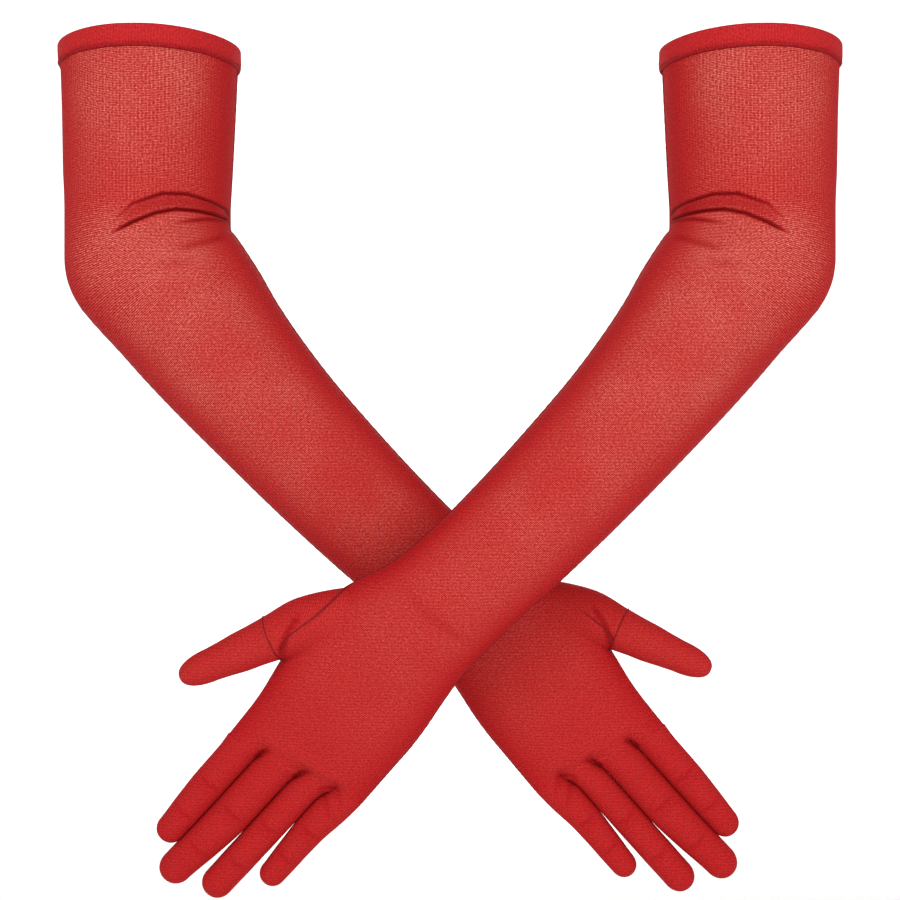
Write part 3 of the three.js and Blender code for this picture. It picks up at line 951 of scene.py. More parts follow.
@dataclass
class Finger:
    """One finger's tube, from the web to its rounded tip."""

    sleeve: Sleeve
    sizes: FingerSizes
    place: int

    def line(self) -> tuple[float, float, float]:
        """The finger's three stations along the arm.

        Returns:
            The places of the knuckle, the middle joint and the tip's start.
        """
        side = self.sleeve.finger_sides()[self.place]
        start = self.sleeve.sizes.knuckle_along - self.sleeve.sizes.knuckle_slant * side
        joint = start + (self.sizes.tip - start) * self.sizes.joint_share
        return start, joint, self.sizes.tip - self.sizes.end

    def split(self) -> float:
        """Where the finger's two pieces of cloth meet.

        Returns:
            The place along the arm.
        """
        start, joint, _ = self.line()
        return start + (joint - start) * self.sleeve.cuts.finger_split

    def across(self, along: Array) -> tuple[Array, Array]:
        """The finger's centre across the hand and its half width, as if it stood by itself.

        Past the tip's start the half width shrinks as cos(turn)^0.92, where sin(turn) is how far
        along the tip a place is.

        Args:
            along: Places towards the fingertips.

        Returns:
            The centre and the half width at each place.
        """
        f = self.sizes
        start, joint, end = self.line()
        held = np.clip(along, start, end)
        stops = [start, start + 9.0, joint, end]
        half = through(stops, [f.base + FINGER_GAP / 2, f.near, f.middle, f.end], held)
        far = start + (f.tip - start) * 0.72
        swell = 0.28 * np.exp(-(((held - joint) / 6.0) ** 2)) + 0.2 * np.exp(
            -(((held - far) / 5.0) ** 2)
        )
        half = half + swell * 0.4 * ease((held - joint) / 9.0)
        shrink = 1 - np.clip((along - end) / (f.end * 1.05), 0, 1) ** 2
        side = self.sleeve.finger_sides()[self.place]
        return side + through(stops, [0, f.shift, f.drift, f.stray], held), half * shrink**0.46

    def pressed(self, along: Array, slack: Array) -> tuple[Array, Array]:
        """The centre and half width where the neighbouring fingers press against the finger.

        Where two fingers would overlap, each stops half a clearance short of the middle of the
        overlap.

        Args:
            along: Places towards the fingertips.
            slack: How far each row still slants with the knuckles, from 1 down to 0.

        Returns:
            The centre and the half width at each place.
        """
        centre, half = self.across(along)
        low, high = centre - half, centre + half
        start = self.line()[0]
        for place in (self.place - 1, self.place + 1):
            if not 0 <= place < len(FINGERS):
                continue
            other = Finger(self.sleeve, FINGERS[place], place)
            beside, wide = other.across(along + (other.line()[0] - start) * slack)
            there = wide > 0.3
            if place > self.place:
                meet = (centre + half + beside - wide - FINGER_CLEARANCE) / 2
                high = np.where(there, np.minimum(high, meet), high)
            else:
                meet = (centre - half + beside + wide + FINGER_CLEARANCE) / 2
                low = np.where(there, np.maximum(low, meet), low)
        return (low + high) / 2, (high - low) / 2

    def patch(self, last_row: Array) -> Patch:
        """The finger's grid.

        A ring is the finger's centre - cos(angle) x half width, and sin(angle) x half depth. The
        first row is the palm's own last row. The tip's rings shrink as cos(turn) while they
        reach on as sin(turn).

        Args:
            last_row: The palm's last row of points, all round.

        Returns:
            The patch.
        """
        f, n, arm = self.sizes, self.sleeve.half_columns, self.sleeve.arm
        start, joint, end = self.line()
        rows = int(round((end - start) / 0.9))
        run = start + (end - start) * (np.arange(1, rows + 1) / rows) ** 1.08
        turn = np.linspace(0, np.pi / 2, 13)[1:]
        reach = f.end * 1.05
        along = np.concatenate([run, end + reach * np.sin(turn)])
        slack = 1 - ease((along - start) / 16.0)
        centre, half = self.pressed(along, slack)
        own = np.pi * np.arange(n + 1) / n
        first = np.pi / (2 * (n + 1))
        apart = first + (np.pi - 2 * first) * np.arange(n + 1) / n
        open_up = ease((along - start) / 5.0)[:, None]
        angle = own * (1 - open_up) + apart * open_up
        angle = np.concatenate([angle, 2 * np.pi - angle[:, ::-1], angle[:, :1] + 2 * np.pi], axis=1)
        slack = slack[:, None]
        wide = half[:, None]
        offset = -np.cos(angle) * wide
        flatness = np.interp(along, [start, joint, end], [0.93, 0.95, 0.93])[:, None]
        height = np.sin(angle) * half[:, None] * flatness
        thumb_side = (angle < np.pi / 2) | (angle > 1.5 * np.pi)
        far_side = (angle > np.pi / 2) & (angle < 1.5 * np.pi)
        unjoined = {0: thumb_side, len(FINGERS) - 1: far_side}.get(self.place)
        webbed = np.ones_like(angle) if unjoined is None else 1.0 - unjoined
        floor = self.sleeve.sizes.web_floor * (1 - np.abs(np.sin(angle))) * webbed
        floor = floor * (1 - ease((along - start) / 4.5))[:, None]
        face = np.where((angle >= 0) & (angle <= np.pi), 1.0, -1.0)
        face[:, -1] = 1.0
        height = face * np.hypot(height, floor)
        tilt = self.sleeve.sizes.knuckle_slant * slack
        points = arm.place(along[:, None] - tilt * offset, centre[:, None] + offset, height)
        j0 = self.place * n
        total = 4 * n
        palm = last_row[j0 : j0 + n + 1]
        back = last_row[2 * total - j0 - n : 2 * total - j0 + 1]
        ring = np.concatenate([palm, back, palm[:1]])
        points = np.concatenate([ring[None], points])
        run_length = np.concatenate([[start], along])
        uv = arc_uv(points, run_length + 60.0, np.full(len(points), 1.2))
        # Painted light with the open net: paler on the middle of each face, redder at its sides.
        lit = np.abs(np.sin(np.concatenate([angle[:1], angle]))) ** 1.1
        level = np.interp(run_length, [start, joint, end + reach], [0.18, 0.15, 0.1])[:, None]
        cut = self.split()
        middle = (run_length[:-1] + run_length[1:]) / 2
        bands = [f"{f.name}_base" if a < cut else f"{f.name}_tip" for a in middle]
        return Patch(points, uv, bands, lit * level)

    def folds(self) -> tuple[Fold, ...]:
        """The soft creases at the finger's joints, on the palm's face and the back.

        Returns:
            The creases.
        """
        start, joint, _ = self.line()
        side = self.sleeve.finger_sides()[self.place] + self.sizes.drift
        wide = self.sizes.middle * 0.86
        far = start + (self.sizes.tip - start) * 0.72
        made = []
        # The last number of each is its dark value: painted shade in the joint's crease, with the denser
        # net.
        for place, depth, density_and_painted_shade in ((joint, 0.24, 0.13), (joint + 3.4, 0.15, 0.05), (far, 0.2, 0.1)):
            for face in Side:
                bow = 1.4 * face.value
                line = ((place - bow, side - wide), (place, side), (place - bow, side + wide))
                made.append(Fold(line, 1.3, depth, face, True, density_and_painted_shade, 0.4))
        return tuple(made)


@dataclass
class Thumb:
    """The thumb's gusset and tube."""

    sleeve: Sleeve
    sizes: ThumbSizes = field(default_factory=ThumbSizes)
    columns: int = 40
    hidden: Array = field(init=False)

    def spine(self) -> tuple[Array, Array, Array]:
        """The thumb's centre line with its tip.

        Returns:
            Rows of (along, side, palmward), the half width of each, and each row's place in
            stations, so that 3.0 is the row at the fourth station.
        """
        table = np.array(self.sizes.stations, float)
        place = np.arange(len(table), dtype=float)
        at = np.linspace(0, len(table) - 1, 92)
        body = through(place, table, at)
        heading = unit(table[-1, :3] - table[-2, :3])
        turn = np.linspace(0, np.pi / 2, 13)[1:]
        tip = body[-1, :3] + heading * (self.sizes.tip_reach * np.sin(turn))[:, None]
        half = np.concatenate([body[:, 3], body[-1, 3] * np.cos(turn) ** 0.8])
        return np.vstack([body[:, :3], tip]), half, np.concatenate([at, at[-1] + turn])

    def skin(self, along: Array, side: Array, face: float) -> Array:
        """How far the glove's surface stands off its middle surface, over the palm or the thumb.

        It is the larger of the palm's half ellipse and the thumb's half circle there, which stands
        about the thumb's own centre line.

        Args:
            along: Places towards the fingertips.
            side: Places to the little finger's side.
            face: 1 for the palm's face, -1 for the back's.

        Returns:
            The height at each place, away from the middle surface on that face.
        """
        mid, wide, deep = self.sleeve.surface(along, side)
        palm = deep * np.sqrt(np.clip(1 - ((side - mid) / wide) ** 2, 0, 1))
        centre, half, _ = self.spine()
        gap = np.linalg.norm(np.stack([along, side], -1)[:, None] - centre[None, :, :2], axis=2)
        rise = np.sqrt(np.clip(half[None] ** 2 - gap**2, 0, None)) * self.sizes.flatness
        thumb = np.where(gap < half[None], rise + face * centre[None, :, 2], 0.0).max(axis=1)
        return np.maximum(palm, thumb)

    def seam(self) -> Array:
        """The gusset's seam: a closed loop over the palm's face and back over the other.

        Returns:
            Points in the row frame.
        """
        line = np.array(self.sizes.gusset, float)
        step = np.linalg.norm(np.diff(line, axis=0), axis=1)
        t = np.concatenate([[0.0], np.cumsum(step)])
        at = np.linspace(0, t[-1], 70)
        along, side = through(t, line, at).T
        edge = np.minimum(at, t[-1] - at)
        lift = np.sqrt(np.clip(edge / 4.0, 0, 1))
        face = self.sleeve.arm.place(along, side, self.skin(along, side, 1.0) * lift + 0.05)
        back = self.sleeve.arm.place(along, side, -self.skin(along, side, -1.0) * lift - 0.05)
        return np.concatenate([face, back[-2:0:-1]])

    def patch(self) -> tuple[Patch, Array, Array]:
        """The thumb's grid, without the rows that lie wholly inside the palm.

        A ring is centre + cos(angle) x half width to the thumb's outer side + sin(angle) x half
        depth palmward, set square to the centre line.

        Returns:
            The patch, the closed line where it leaves the palm, and the ring at its seam.
        """
        arm = self.sleeve.arm
        centre, half, place = self.spine()
        centres = arm.place(centre[:, 0], centre[:, 1], centre[:, 2])
        heading = unit(np.gradient(centres, axis=0))
        palmward = np.array([0.0, -1.0, 0.0])
        across = unit(np.cross(heading, palmward)) * arm.hand.out
        up = unit(np.cross(across, heading)) * arm.hand.out
        angle = np.linspace(0, 2 * np.pi, self.columns + 1)
        swell = 0.3 * np.exp(-(((place - 4.1) / 0.35) ** 2))
        half = half + swell
        points = (
            centres[:, None]
            + across[:, None] * (np.cos(angle) * half[:, None])[..., None]
            + up[:, None] * (np.sin(angle) * half[:, None] * self.sizes.flatness)[..., None]
        )
        along, side, off = arm.unplaced(points)
        mid, wide, deep = self.sleeve.surface(along, side)
        outside = ((side - mid) / wide) ** 2 + (off / deep) ** 2 - 1
        outside[:, -1] = outside[:, 0]
        leaves = np.argmax(outside > 0, axis=0)
        leaves = np.maximum(leaves, 1)
        cols = np.arange(points.shape[1])
        inner, outer = outside[leaves - 1, cols], outside[leaves, cols]
        share = np.clip(-inner / np.maximum(outer - inner, 1e-9), 0, 1)[:, None]
        line = points[leaves - 1, cols] * (1 - share) + points[leaves, cols] * share
        length = np.concatenate(
            [[0], np.cumsum(np.linalg.norm(np.diff(centres, axis=0), axis=1))]
        )
        uv = arc_uv(points, length + 200.0, np.full(len(points), 1.15))
        seam = points[int(np.argmin(np.abs(place - self.sizes.seam_station)))]
        middle = (place[:-1] + place[1:]) / 2
        bands = [
            "thumb_gusset" if p < 2.45 else "thumb_base" if p < 3.5 else "thumb_tip" for p in middle
        ]
        faces_in = (outside < -0.04).reshape(points.shape[:2])
        self.hidden = (
            faces_in[:-1, :-1] & faces_in[1:, :-1] & faces_in[:-1, 1:] & faces_in[1:, 1:]
        )
        # Painted light with the open net: paler on the middle of each face, redder at its sides.
        lit = np.clip(np.abs(np.sin(angle)), 0, 1)[None] ** 1.1 * np.full((len(points), 1), 0.32)
        return Patch(points, uv, bands, lit), line, seam


# ---- Threads and bands ----


def tube(line: Array, radius: Array, sides: int, closed: bool) -> tuple[Array, Array]:
    """A round thread along a line: line + radius x (cos(angle) a + sin(angle) b).

    a and b stand square to the line: a is the part of +Y square to it, or of +Z where the line
    runs along Y.

    Args:
        line: Points of the line.
        radius: The thread's radius at each point.
        sides: How many faces it has round it.
        closed: Whether the line joins up with itself.

    Returns:
        The points and the quads.
    """
    ahead = np.roll(line, -1, 0) - np.roll(line, 1, 0) if closed else np.gradient(line, axis=0)
    ahead = unit(ahead)
    guide = np.where(np.abs(ahead[:, 1:2]) > 0.9, np.array([[0, 0, 1.0]]), np.array([[0, 1.0, 0]]))
    a = unit(guide - ahead * np.sum(guide * ahead, axis=1, keepdims=True))
    b = np.cross(ahead, a)
    angle = 2 * np.pi * np.arange(sides) / sides
    r = np.broadcast_to(radius, (len(line),))[:, None, None]
    points = line[:, None] + r * (
        np.cos(angle)[None, :, None] * a[:, None] + np.sin(angle)[None, :, None] * b[:, None]
    )
    index = np.arange(len(line) * sides).reshape(len(line), sides)
    nxt = np.roll(index, -1, axis=0) if closed else index[1:]
    now = index if closed else index[:-1]
    quads = np.stack([now, np.roll(now, -1, 1), np.roll(nxt, -1, 1), nxt], axis=-1)
    return points.reshape(-1, 3), quads.reshape(-1, 4)


def object_from(label: str, points: Array, quads: Array, caps: list[list[int]] = ()) -> bpy.types.Object:
    """Makes a smooth mesh object at the origin from points in millimetres.

    The points' resting places are kept on the mesh as "laid", for its material.

    Args:
        label: The object's name.
        points: Its points.
        quads: Its faces.
        caps: Faces that close its ends.

    Returns:
        The object.
    """
    mesh = bpy.data.meshes.new(label)
    mesh.from_pydata((points * MM).tolist(), [], quads.tolist() + list(caps))
    laid = mesh.attributes.new("laid", "FLOAT_VECTOR", "POINT")
    laid.data.foreach_set("vector", points.astype(np.float32).ravel())
    mesh.shade_smooth()
    mesh.update()
    thing = bpy.data.objects.new(label, mesh)
    bpy.context.scene.collection.objects.link(thing)
    return thing


# ---- Looks ----


def linear(colour: str) -> tuple[float, float, float, float]:
    """Turns an sRGB hex colour into the linear values that a shader takes.

    Args:
        colour: "#rrggbb".

    Returns:
        Red, green, blue and an alpha of 1.
    """
    parts = [int(colour[i : i + 2], 16) / 255 for i in (1, 3, 5)]
    made = [c / 12.92 if c <= 0.04045 else ((c + 0.055) / 1.055) ** 2.4 for c in parts]
    return (*made, 1.0)


def node(tree: bpy.types.NodeTree, kind: str, links: dict | None = None, **settings) -> bpy.types.Node:
    """Adds a node, sets it up and links its inputs.

    Args:
        tree: The material's tree.
        kind: The node's type, without its ShaderNode start.
        links: An input's name or place, to the socket or the value that it takes.
        settings: The node's own properties.

    Returns:
        The node.
    """
    made = tree.nodes.new(f"ShaderNode{kind}")
    for key, value in settings.items():
        setattr(made, key, value)
    for key, value in (links or {}).items():
        if isinstance(value, bpy.types.NodeSocket):
            tree.links.new(value, made.inputs[key])
        else:
            made.inputs[key].default_value = value
    return made


@dataclass(frozen=True)
class PowerNet:
    """Nylon and elastane power net, warp knitted and dyed red.

    A fine open mesh: red yarns round small holes, which show paler where the cloth is pulled
    open over the middle of the arm, and close up to a clear red at its edges and in its folds.
    The paler middle is partly painted light and the redder edges partly painted shade, and the
    folds are also painted darker, as painted shade.
    Its courses show as fine level lines below the elbow, and its wales as upright ones above.
    """

    name: str = "red_power_net"
    yarn: str = "#921115"
    dense: str = "#bd1d21"
    middle: str = "#c0413a"
    spark: str = "#e8998a"
    hole_pitch: float = 1.05
    line_pitch: float = 1.5
    net_share: float = 0.85
    line_share: float = 0.12
    openness: float = 1.0
    roughness: float = 0.7
    sheen: float = 0.06
    bump: float = 0.2

    def make(self) -> bpy.types.Material:
        """Builds the material.

        Returns:
            The material, which reads the cloth's UV in millimetres and its attributes.
        """
        material = bpy.data.materials.new(self.name)
        material.use_nodes = True
        tree = material.node_tree
        tree.nodes.clear()
        m = lambda kind, *values, **more: node(
            tree, "Math", dict(enumerate(values)), operation=kind, **more
        ).outputs[0]
        read = lambda key: node(tree, "Attribute", attribute_name=key).outputs["Fac"]
        spread = lambda value, *ends: node(
            tree, "MapRange", dict(enumerate((value, *ends)))
        ).outputs[0]
        uv = node(tree, "UVMap", uv_map="cloth").outputs["UV"]
        noise = lambda scale, detail, rough: node(
            tree,
            "TexNoise",
            {"Vector": uv, "Scale": scale, "Detail": detail, "Roughness": rough},
        )
        sway = noise(0.3, 2.0, 0.5).outputs["Color"]
        shift = node(
            tree, "VectorMath", {0: sway, 1: (0.5, 0.5, 0.5)}, operation="SUBTRACT"
        ).outputs[0]
        moved = node(
            tree, "VectorMath", {0: shift, 1: (0.6, 0.6, 0.0), 2: uv}, operation="MULTIPLY_ADD"
        ).outputs[0]
        axes = node(tree, "SeparateXYZ", {"Vector": moved})
        wave = 2 * math.pi / self.hole_pitch
        across = m("MULTIPLY", axes.outputs["X"], wave)
        along = m("MULTIPLY", axes.outputs["Y"], wave * 0.7)
        net = m("MULTIPLY", m("SINE", m("ADD", across, along)), m("SINE", m("SUBTRACT", across, along)))
        stripe = 2 * math.pi / self.line_pitch
        wales = m("SINE", m("MULTIPLY", axes.outputs["X"], stripe))
        courses = m("SINE", m("MULTIPLY", read("level"), stripe))
        below = read("below")
        lines = m(
            "ADD",
            m("MULTIPLY", wales, m("SUBTRACT", 1.0, below)),
            m("MULTIPLY", courses, below),
        )
        speck = spread(noise(0.95, 3.0, 0.75).outputs["Fac"], 0.32, 0.68, -1.0, 1.0)
        pattern = m("MULTIPLY_ADD", net, self.net_share, m("MULTIPLY", speck, 0.5))
        pattern = m("MULTIPLY_ADD", lines, self.line_share, pattern)
        cloudy = spread(noise(0.035, 3.0, 0.5).outputs["Fac"], 0.3, 0.7, 0.8, 1.12)
        fold = read("fold")
        # High openness makes the net paler: painted light on the middle of each face and painted shade at
        # its sides, with the net pulled open. The folds close it up, as painted shade with the denser net.
        stretch_and_painted_light = m("MULTIPLY", read("openness"), cloudy)
        openness_light_and_shade = m("MULTIPLY_ADD", fold, -1.5, m("MULTIPLY", stretch_and_painted_light, self.openness), use_clamp=True)
        reach = m("MULTIPLY_ADD", openness_light_and_shade, 0.37, 0.13)
        amount = m("MULTIPLY", m("ADD", pattern, 1.0), reach, use_clamp=True)
        ramp = node(tree, "ValToRGB", {"Fac": amount})
        stops = ramp.color_ramp.elements
        stops[0].position, stops[0].color = 0.0, linear(self.yarn)
        stops[1].position, stops[1].color = 1.0, linear(self.spark)
        for place, colour in ((0.16, self.dense), (0.5, self.middle)):
            stop = stops.new(place)
            stop.color = linear(colour)
        # Painted shade: the colour is multiplied down to 0.3 along the folds, for the shade in the creases
        # with the denser net.
        crease = spread(fold, 0.0, 1.0, 1.0, 0.3)
        glint = m("MULTIPLY_ADD", pattern, m("MULTIPLY_ADD", openness_light_and_shade, 0.16, 0.3), 1.0)
        colour = node(
            tree,
            "Mix",
            {0: 1.0, 6: ramp.outputs["Color"], 7: m("MULTIPLY", crease, glint)},
            data_type="RGBA",
            blend_type="MULTIPLY",
        ).outputs[2]
        bump = node(tree, "Bump", {"Height": pattern, "Strength": self.bump, "Distance": 0.0002})
        shader = node(
            tree,
            "BsdfPrincipled",
            {
                "Base Color": colour,
                "Roughness": self.roughness,
                "IOR": 1.45,
                "Specular IOR Level": 0.06,
                "Sheen Weight": self.sheen,
                "Sheen Roughness": 0.45,
                "Sheen Tint": linear("#ff6a60"),
                "Normal": bump.outputs["Normal"],
            },
        )
        node(tree, "OutputMaterial", {"Surface": shader.outputs[0]})
        return material


@dataclass(frozen=True)
class SpunThread:
    """Spun polyester sewing thread, dyed a darker red: matt, with a fine twist along it."""

    name: str = "red_sewing_thread"
    colour: str = "#7a1014"
    light: str = "#9c2123"
    twist: float = 0.6

    def make(self) -> bpy.types.Material:
        """Builds the material.

        Returns:
            The material, on the thread's resting place.
        """
        material = bpy.data.materials.new(self.name)
        material.use_nodes = True
        tree = material.node_tree
        tree.nodes.clear()
        place = node(tree, "Attribute")
        place.attribute_name = "laid"
        twist = node(
            tree,
            "TexNoise",
            {"Vector": place.outputs["Vector"], "Scale": 1 / self.twist, "Detail": 2.0},
        )
        ramp = node(tree, "ValToRGB", {"Fac": twist.outputs["Fac"]})
        ramp.color_ramp.elements[0].position = 0.35
        ramp.color_ramp.elements[0].color = linear(self.colour)
        ramp.color_ramp.elements[1].position = 0.7
        ramp.color_ramp.elements[1].color = linear(self.light)
        shader = node(
            tree,
            "BsdfPrincipled",
            {"Base Color": ramp.outputs["Color"], "Roughness": 0.8, "Specular IOR Level": 0.2},
        )
        node(tree, "OutputMaterial", {"Surface": shader.outputs[0]})
        return material


# ---- One glove ----


@dataclass
class Glove:
    """One whole glove: its cloth, hem, seams and threads, and how they ride."""

    hand: Hand
    looks: dict[str, bpy.types.Material]
    stretch: float = 1.25
    length_stretch: float = 1.05

    def __post_init__(self) -> None:
        """Builds the frame and the cloth."""
        self.arm = ArmFrame.of(self.hand)
        self.sleeve = Sleeve(self.arm)
        self.thumb = Thumb(self.sleeve)
        self.fingers = [Finger(self.sleeve, f, i) for i, f in enumerate(FINGERS)]
        self.cloth = Cloth(self.arm)
        palm = self.sleeve.patch()
        self.palm_points = palm.points
        self.cloth.add(palm)
        for finger in self.fingers:
            self.cloth.add(finger.patch(palm.points[-1]))
        thumb, self.gusset_line, self.thumb_ring = self.thumb.patch()
        before = len(self.cloth.names)
        self.cloth.add(thumb)
        hidden = np.nonzero(self.thumb.hidden.ravel())[0]
        for i in hidden:
            self.cloth.names[before + i] = "inside"
        folds = ELBOW_FOLDS + WRIST_FOLDS + HAND_FOLDS
        for finger in self.fingers:
            folds += finger.folds()
        self.cloth.crease(folds)
        self.cloth.soften(self.gusset_line, 5.0)

    def name(self, piece: str) -> str:
        """A piece's name with its hand.

        Args:
            piece: The name that both gloves share.

        Returns:
            The name of this glove's own piece.
        """
        return f"{self.hand.value}_{piece}"

    def finish(self, piece: bpy.types.Object, look: str, slot: str, *nodes: str) -> None:
        """Gives a piece its material, and hides the model's nodes that it stands for.

        Args:
            piece: The object.
            look: The look's name.
            slot: The record's material slot. Not used.
            nodes: The nodes, without the hand.
        """
        piece.data.materials.append(self.looks[look])
        if nodes:
            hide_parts(*(self.name(n) for n in nodes))

    def declare(self, piece: bpy.types.Object) -> None:
        """Logs the size a piece of cloth is cut to, smaller than it is worn by the net's stretch.

        Args:
            piece: The object.
        """
        uv = np.zeros(len(piece.data.loops) * 2, np.float32)
        piece.data.uv_layers["cloth"].data.foreach_get("uv", uv)
        uv = uv.reshape(-1, 2)
        worn = np.ptp(uv, axis=0) * MM
        areas = np.zeros(len(piece.data.polygons), np.float32)
        piece.data.polygons.foreach_get("area", areas)
        area = float(areas.sum()) / self.stretch
        length = float(worn[1]) / self.length_stretch
        width = area / length
        LOG.info("%s: cut %.0f x %.0f mm", piece.name, width / MM, length / MM)

    def zone(self, name: str) -> tuple[str, str, Array, Array]:
        """Where the cloth turns from one body to the next.

        Args:
            name: The zone: elbow, wrist, thumb_base, thumb_tip, or a finger's base or tip.

        Returns:
            The two bodies, without the hand, and the zone's two ends in metres.
        """
        arm = self.arm
        if name == "elbow":
            start = arm.at(0.0, 50.0, 0.0) * MM
            end = arm.place(52.0, 0.0, 0.0) * MM
            return "upper_arm", "forearm", start, end
        if name == "wrist":
            return (
                "forearm",
                "hand",
                arm.place(206.0, 0.0, 0.0) * MM,
                arm.place(258.0, 0.0, 0.0) * MM,
            )
        stations = self.thumb.sizes.stations
        if name == "thumb_base":
            a, b = np.array(stations[2]), np.array(stations[3])
            c = np.array(stations[4])
            start = arm.place(*(b + (a - b) * 0.42)[:3]) * MM
            end = arm.place(*(b + (c - b) * 0.44)[:3]) * MM
            return "hand", "thumb_base", start, end
        if name == "thumb_tip":
            a, b, c = (np.array(stations[k]) for k in (3, 4, 5))
            start = arm.place(*(b + (a - b) * 0.44)[:3]) * MM
            end = arm.place(*(b + (c - b) * 0.6)[:3]) * MM
            return "thumb_base", "thumb_tip", start, end
        finger = next(f for f in self.fingers if name.startswith(f.sizes.name))
        side = self.sleeve.finger_sides()[finger.place]
        begin, joint, _ = finger.line()
        split = finger.split()
        if name.endswith("_base"):
            tilt = self.sleeve.sizes.knuckle_slant
            start = arm.place(begin, side, 0.0) * MM
            square = unit(arm.arm + arm.ulnar * tilt)
            return "hand", f"{finger.sizes.name}_base", start, start + square * (split - begin) * 0.96 * MM
        start = arm.place(split + 0.4, side + finger.sizes.drift, 0.0) * MM
        end = arm.place(2 * joint - split + 2.0, side + finger.sizes.drift, 0.0) * MM
        return f"{finger.sizes.name}_base", f"{finger.sizes.name}_tip", start, end

    def hang(self, piece: bpy.types.Object, where: str) -> None:
        """Rides a piece on its body; a piece at a joint is only baked where it stands.

        Args:
            piece: The object.
            where: A body or a zone, without the hand.
        """
        if where in ("upper_arm", "forearm", "hand"):
            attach(piece, self.name(where))
            return
        first, second, start, end = self.zone(where)
        self.name(first)
        self.name(second)
        tuple(start)
        tuple(end)
        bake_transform(piece)

    def make_cloth(self) -> None:
        """Cuts the cloth into its pieces and hangs each one."""
        pieces = {
            "upper_sleeve": ("upper_arm", ("upper_sleeve_palm_side", "upper_sleeve_back_side")),
            "elbow": ("elbow", ("elbow_sleeve",)),
            "forearm": ("forearm", ("forearm_palm_side", "forearm_back_side")),
            "wrist": ("wrist", ("wrist_sleeve",)),
            "palm": ("hand", ("palm_panel", "back_panel")),
            "thumb_gusset": ("hand", ("thumb_gusset",)),
            "thumb_base": ("thumb_base", ("thumb_base",)),
            "thumb_tip": ("thumb_tip", ("thumb_tip",)),
        }
        for finger in FINGERS:
            for part in ("base", "tip"):
                pieces[f"{finger.name}_{part}"] = (
                    f"{finger.name}_{part}",
                    (f"{finger.name}_{part}",),
                )
        for key, (where, nodes) in pieces.items():
            piece = self.cloth.cut(key, self.name(f"{key}_cloth"))
            self.finish(piece, "net", "stretch_mesh", *nodes)
            self.hang(piece, where)
            self.declare(piece)

    def make_hem(self) -> None:
        """Makes the turned hem as a soft double band, with its row of stitches.

        The band's section runs up its outer wall, over a rounded top and down its inner wall; it
        is carried round the mouth's ellipse.
        """
        lo, hi = (np.array(v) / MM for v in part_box(self.name("hem")))
        centre = (lo + hi) / 2
        half = (hi - lo) / 2
        tall = hi[2] - lo[2]
        section = np.array(
            [
                (0.35, tall * 0.99), (0.0, tall * 0.93), (-0.02, tall * 0.7), (0.05, tall * 0.4),
                (0.25, tall * 0.16), (0.55, tall * 0.04), (1.1, -0.15), (1.9, 0.1), (2.3, 0.6),
                (2.2, tall * 0.3), (2.1, tall * 0.7), (2.05, tall * 0.92), (1.75, tall * 0.985),
                (1.05, tall * 1.0),
            ]
        )
        ring = 220
        angle = 2 * np.pi * np.arange(ring) / ring
        ripple = 0.18 * np.sin(angle * 9 + 0.7) + 0.12 * np.sin(angle * 17)
        inset = section[:, 0][None] + ripple[:, None] * (section[:, 1] < tall * 0.5)[None]
        x = centre[0] + np.cos(angle)[:, None] * (half[0] - inset)
        y = centre[1] - np.sin(angle)[:, None] * (half[1] - inset)
        z = np.broadcast_to(lo[2] + section[:, 1], x.shape)
        points = raised(np.stack([x, y, z], axis=-1))
        index = np.arange(points.shape[0] * points.shape[1]).reshape(points.shape[:2])
        now, nxt = index, np.roll(index, -1, 0)
        quads = np.stack([now, np.roll(now, -1, 1), np.roll(nxt, -1, 1), nxt], -1).reshape(-1, 4)
        hem = object_from(self.name("hem_band"), points.reshape(-1, 3), quads)
        step = np.linalg.norm(np.diff(np.vstack([section, section[:1]]), axis=0), axis=1)
        round_mm = np.concatenate([[0], np.cumsum(step)])
        girth = np.pi * (half[0] + half[1])
        count = len(section)
        a, b = np.arange(ring), np.arange(count)
        corner_u = np.stack([a, a, a + 1, a + 1], -1)
        corner_v = np.stack([b, b + 1, b + 1, b], -1)
        u = np.repeat(corner_u[:, None], count, 1) * girth / ring
        v = np.broadcast_to(round_mm[corner_v][None], u.shape)
        uv = hem.data.uv_layers.new(name="cloth")
        uv.data.foreach_set("uv", np.stack([u, v], -1).astype(np.float32).ravel())
        for key, value in (("openness", 0.2), ("fold", 0.0), ("level", 0.0), ("below", 0.0)):
            layer = hem.data.attributes.new(key, "FLOAT", "POINT")
            values = np.full(len(points.reshape(-1, 3)), value, np.float32)
            # Painted shade along the band's bottom edge, where the net turns under: fold is set highest
            # there, partly for the doubled net.
            if key == "fold":
                values = np.tile(0.5 * np.exp(-((section[:, 1] / 1.2) ** 2)), ring).astype(np.float32)
            layer.data.foreach_set("value", values)
        self.finish(hem, "hem", "folded_hem", "hem")
        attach(hem, self.name("upper_arm"))
        self.make_stitches(centre, half, lo[2] + 1.6)
        LOG.info("%s: %.0f mm round", hem.name, girth)

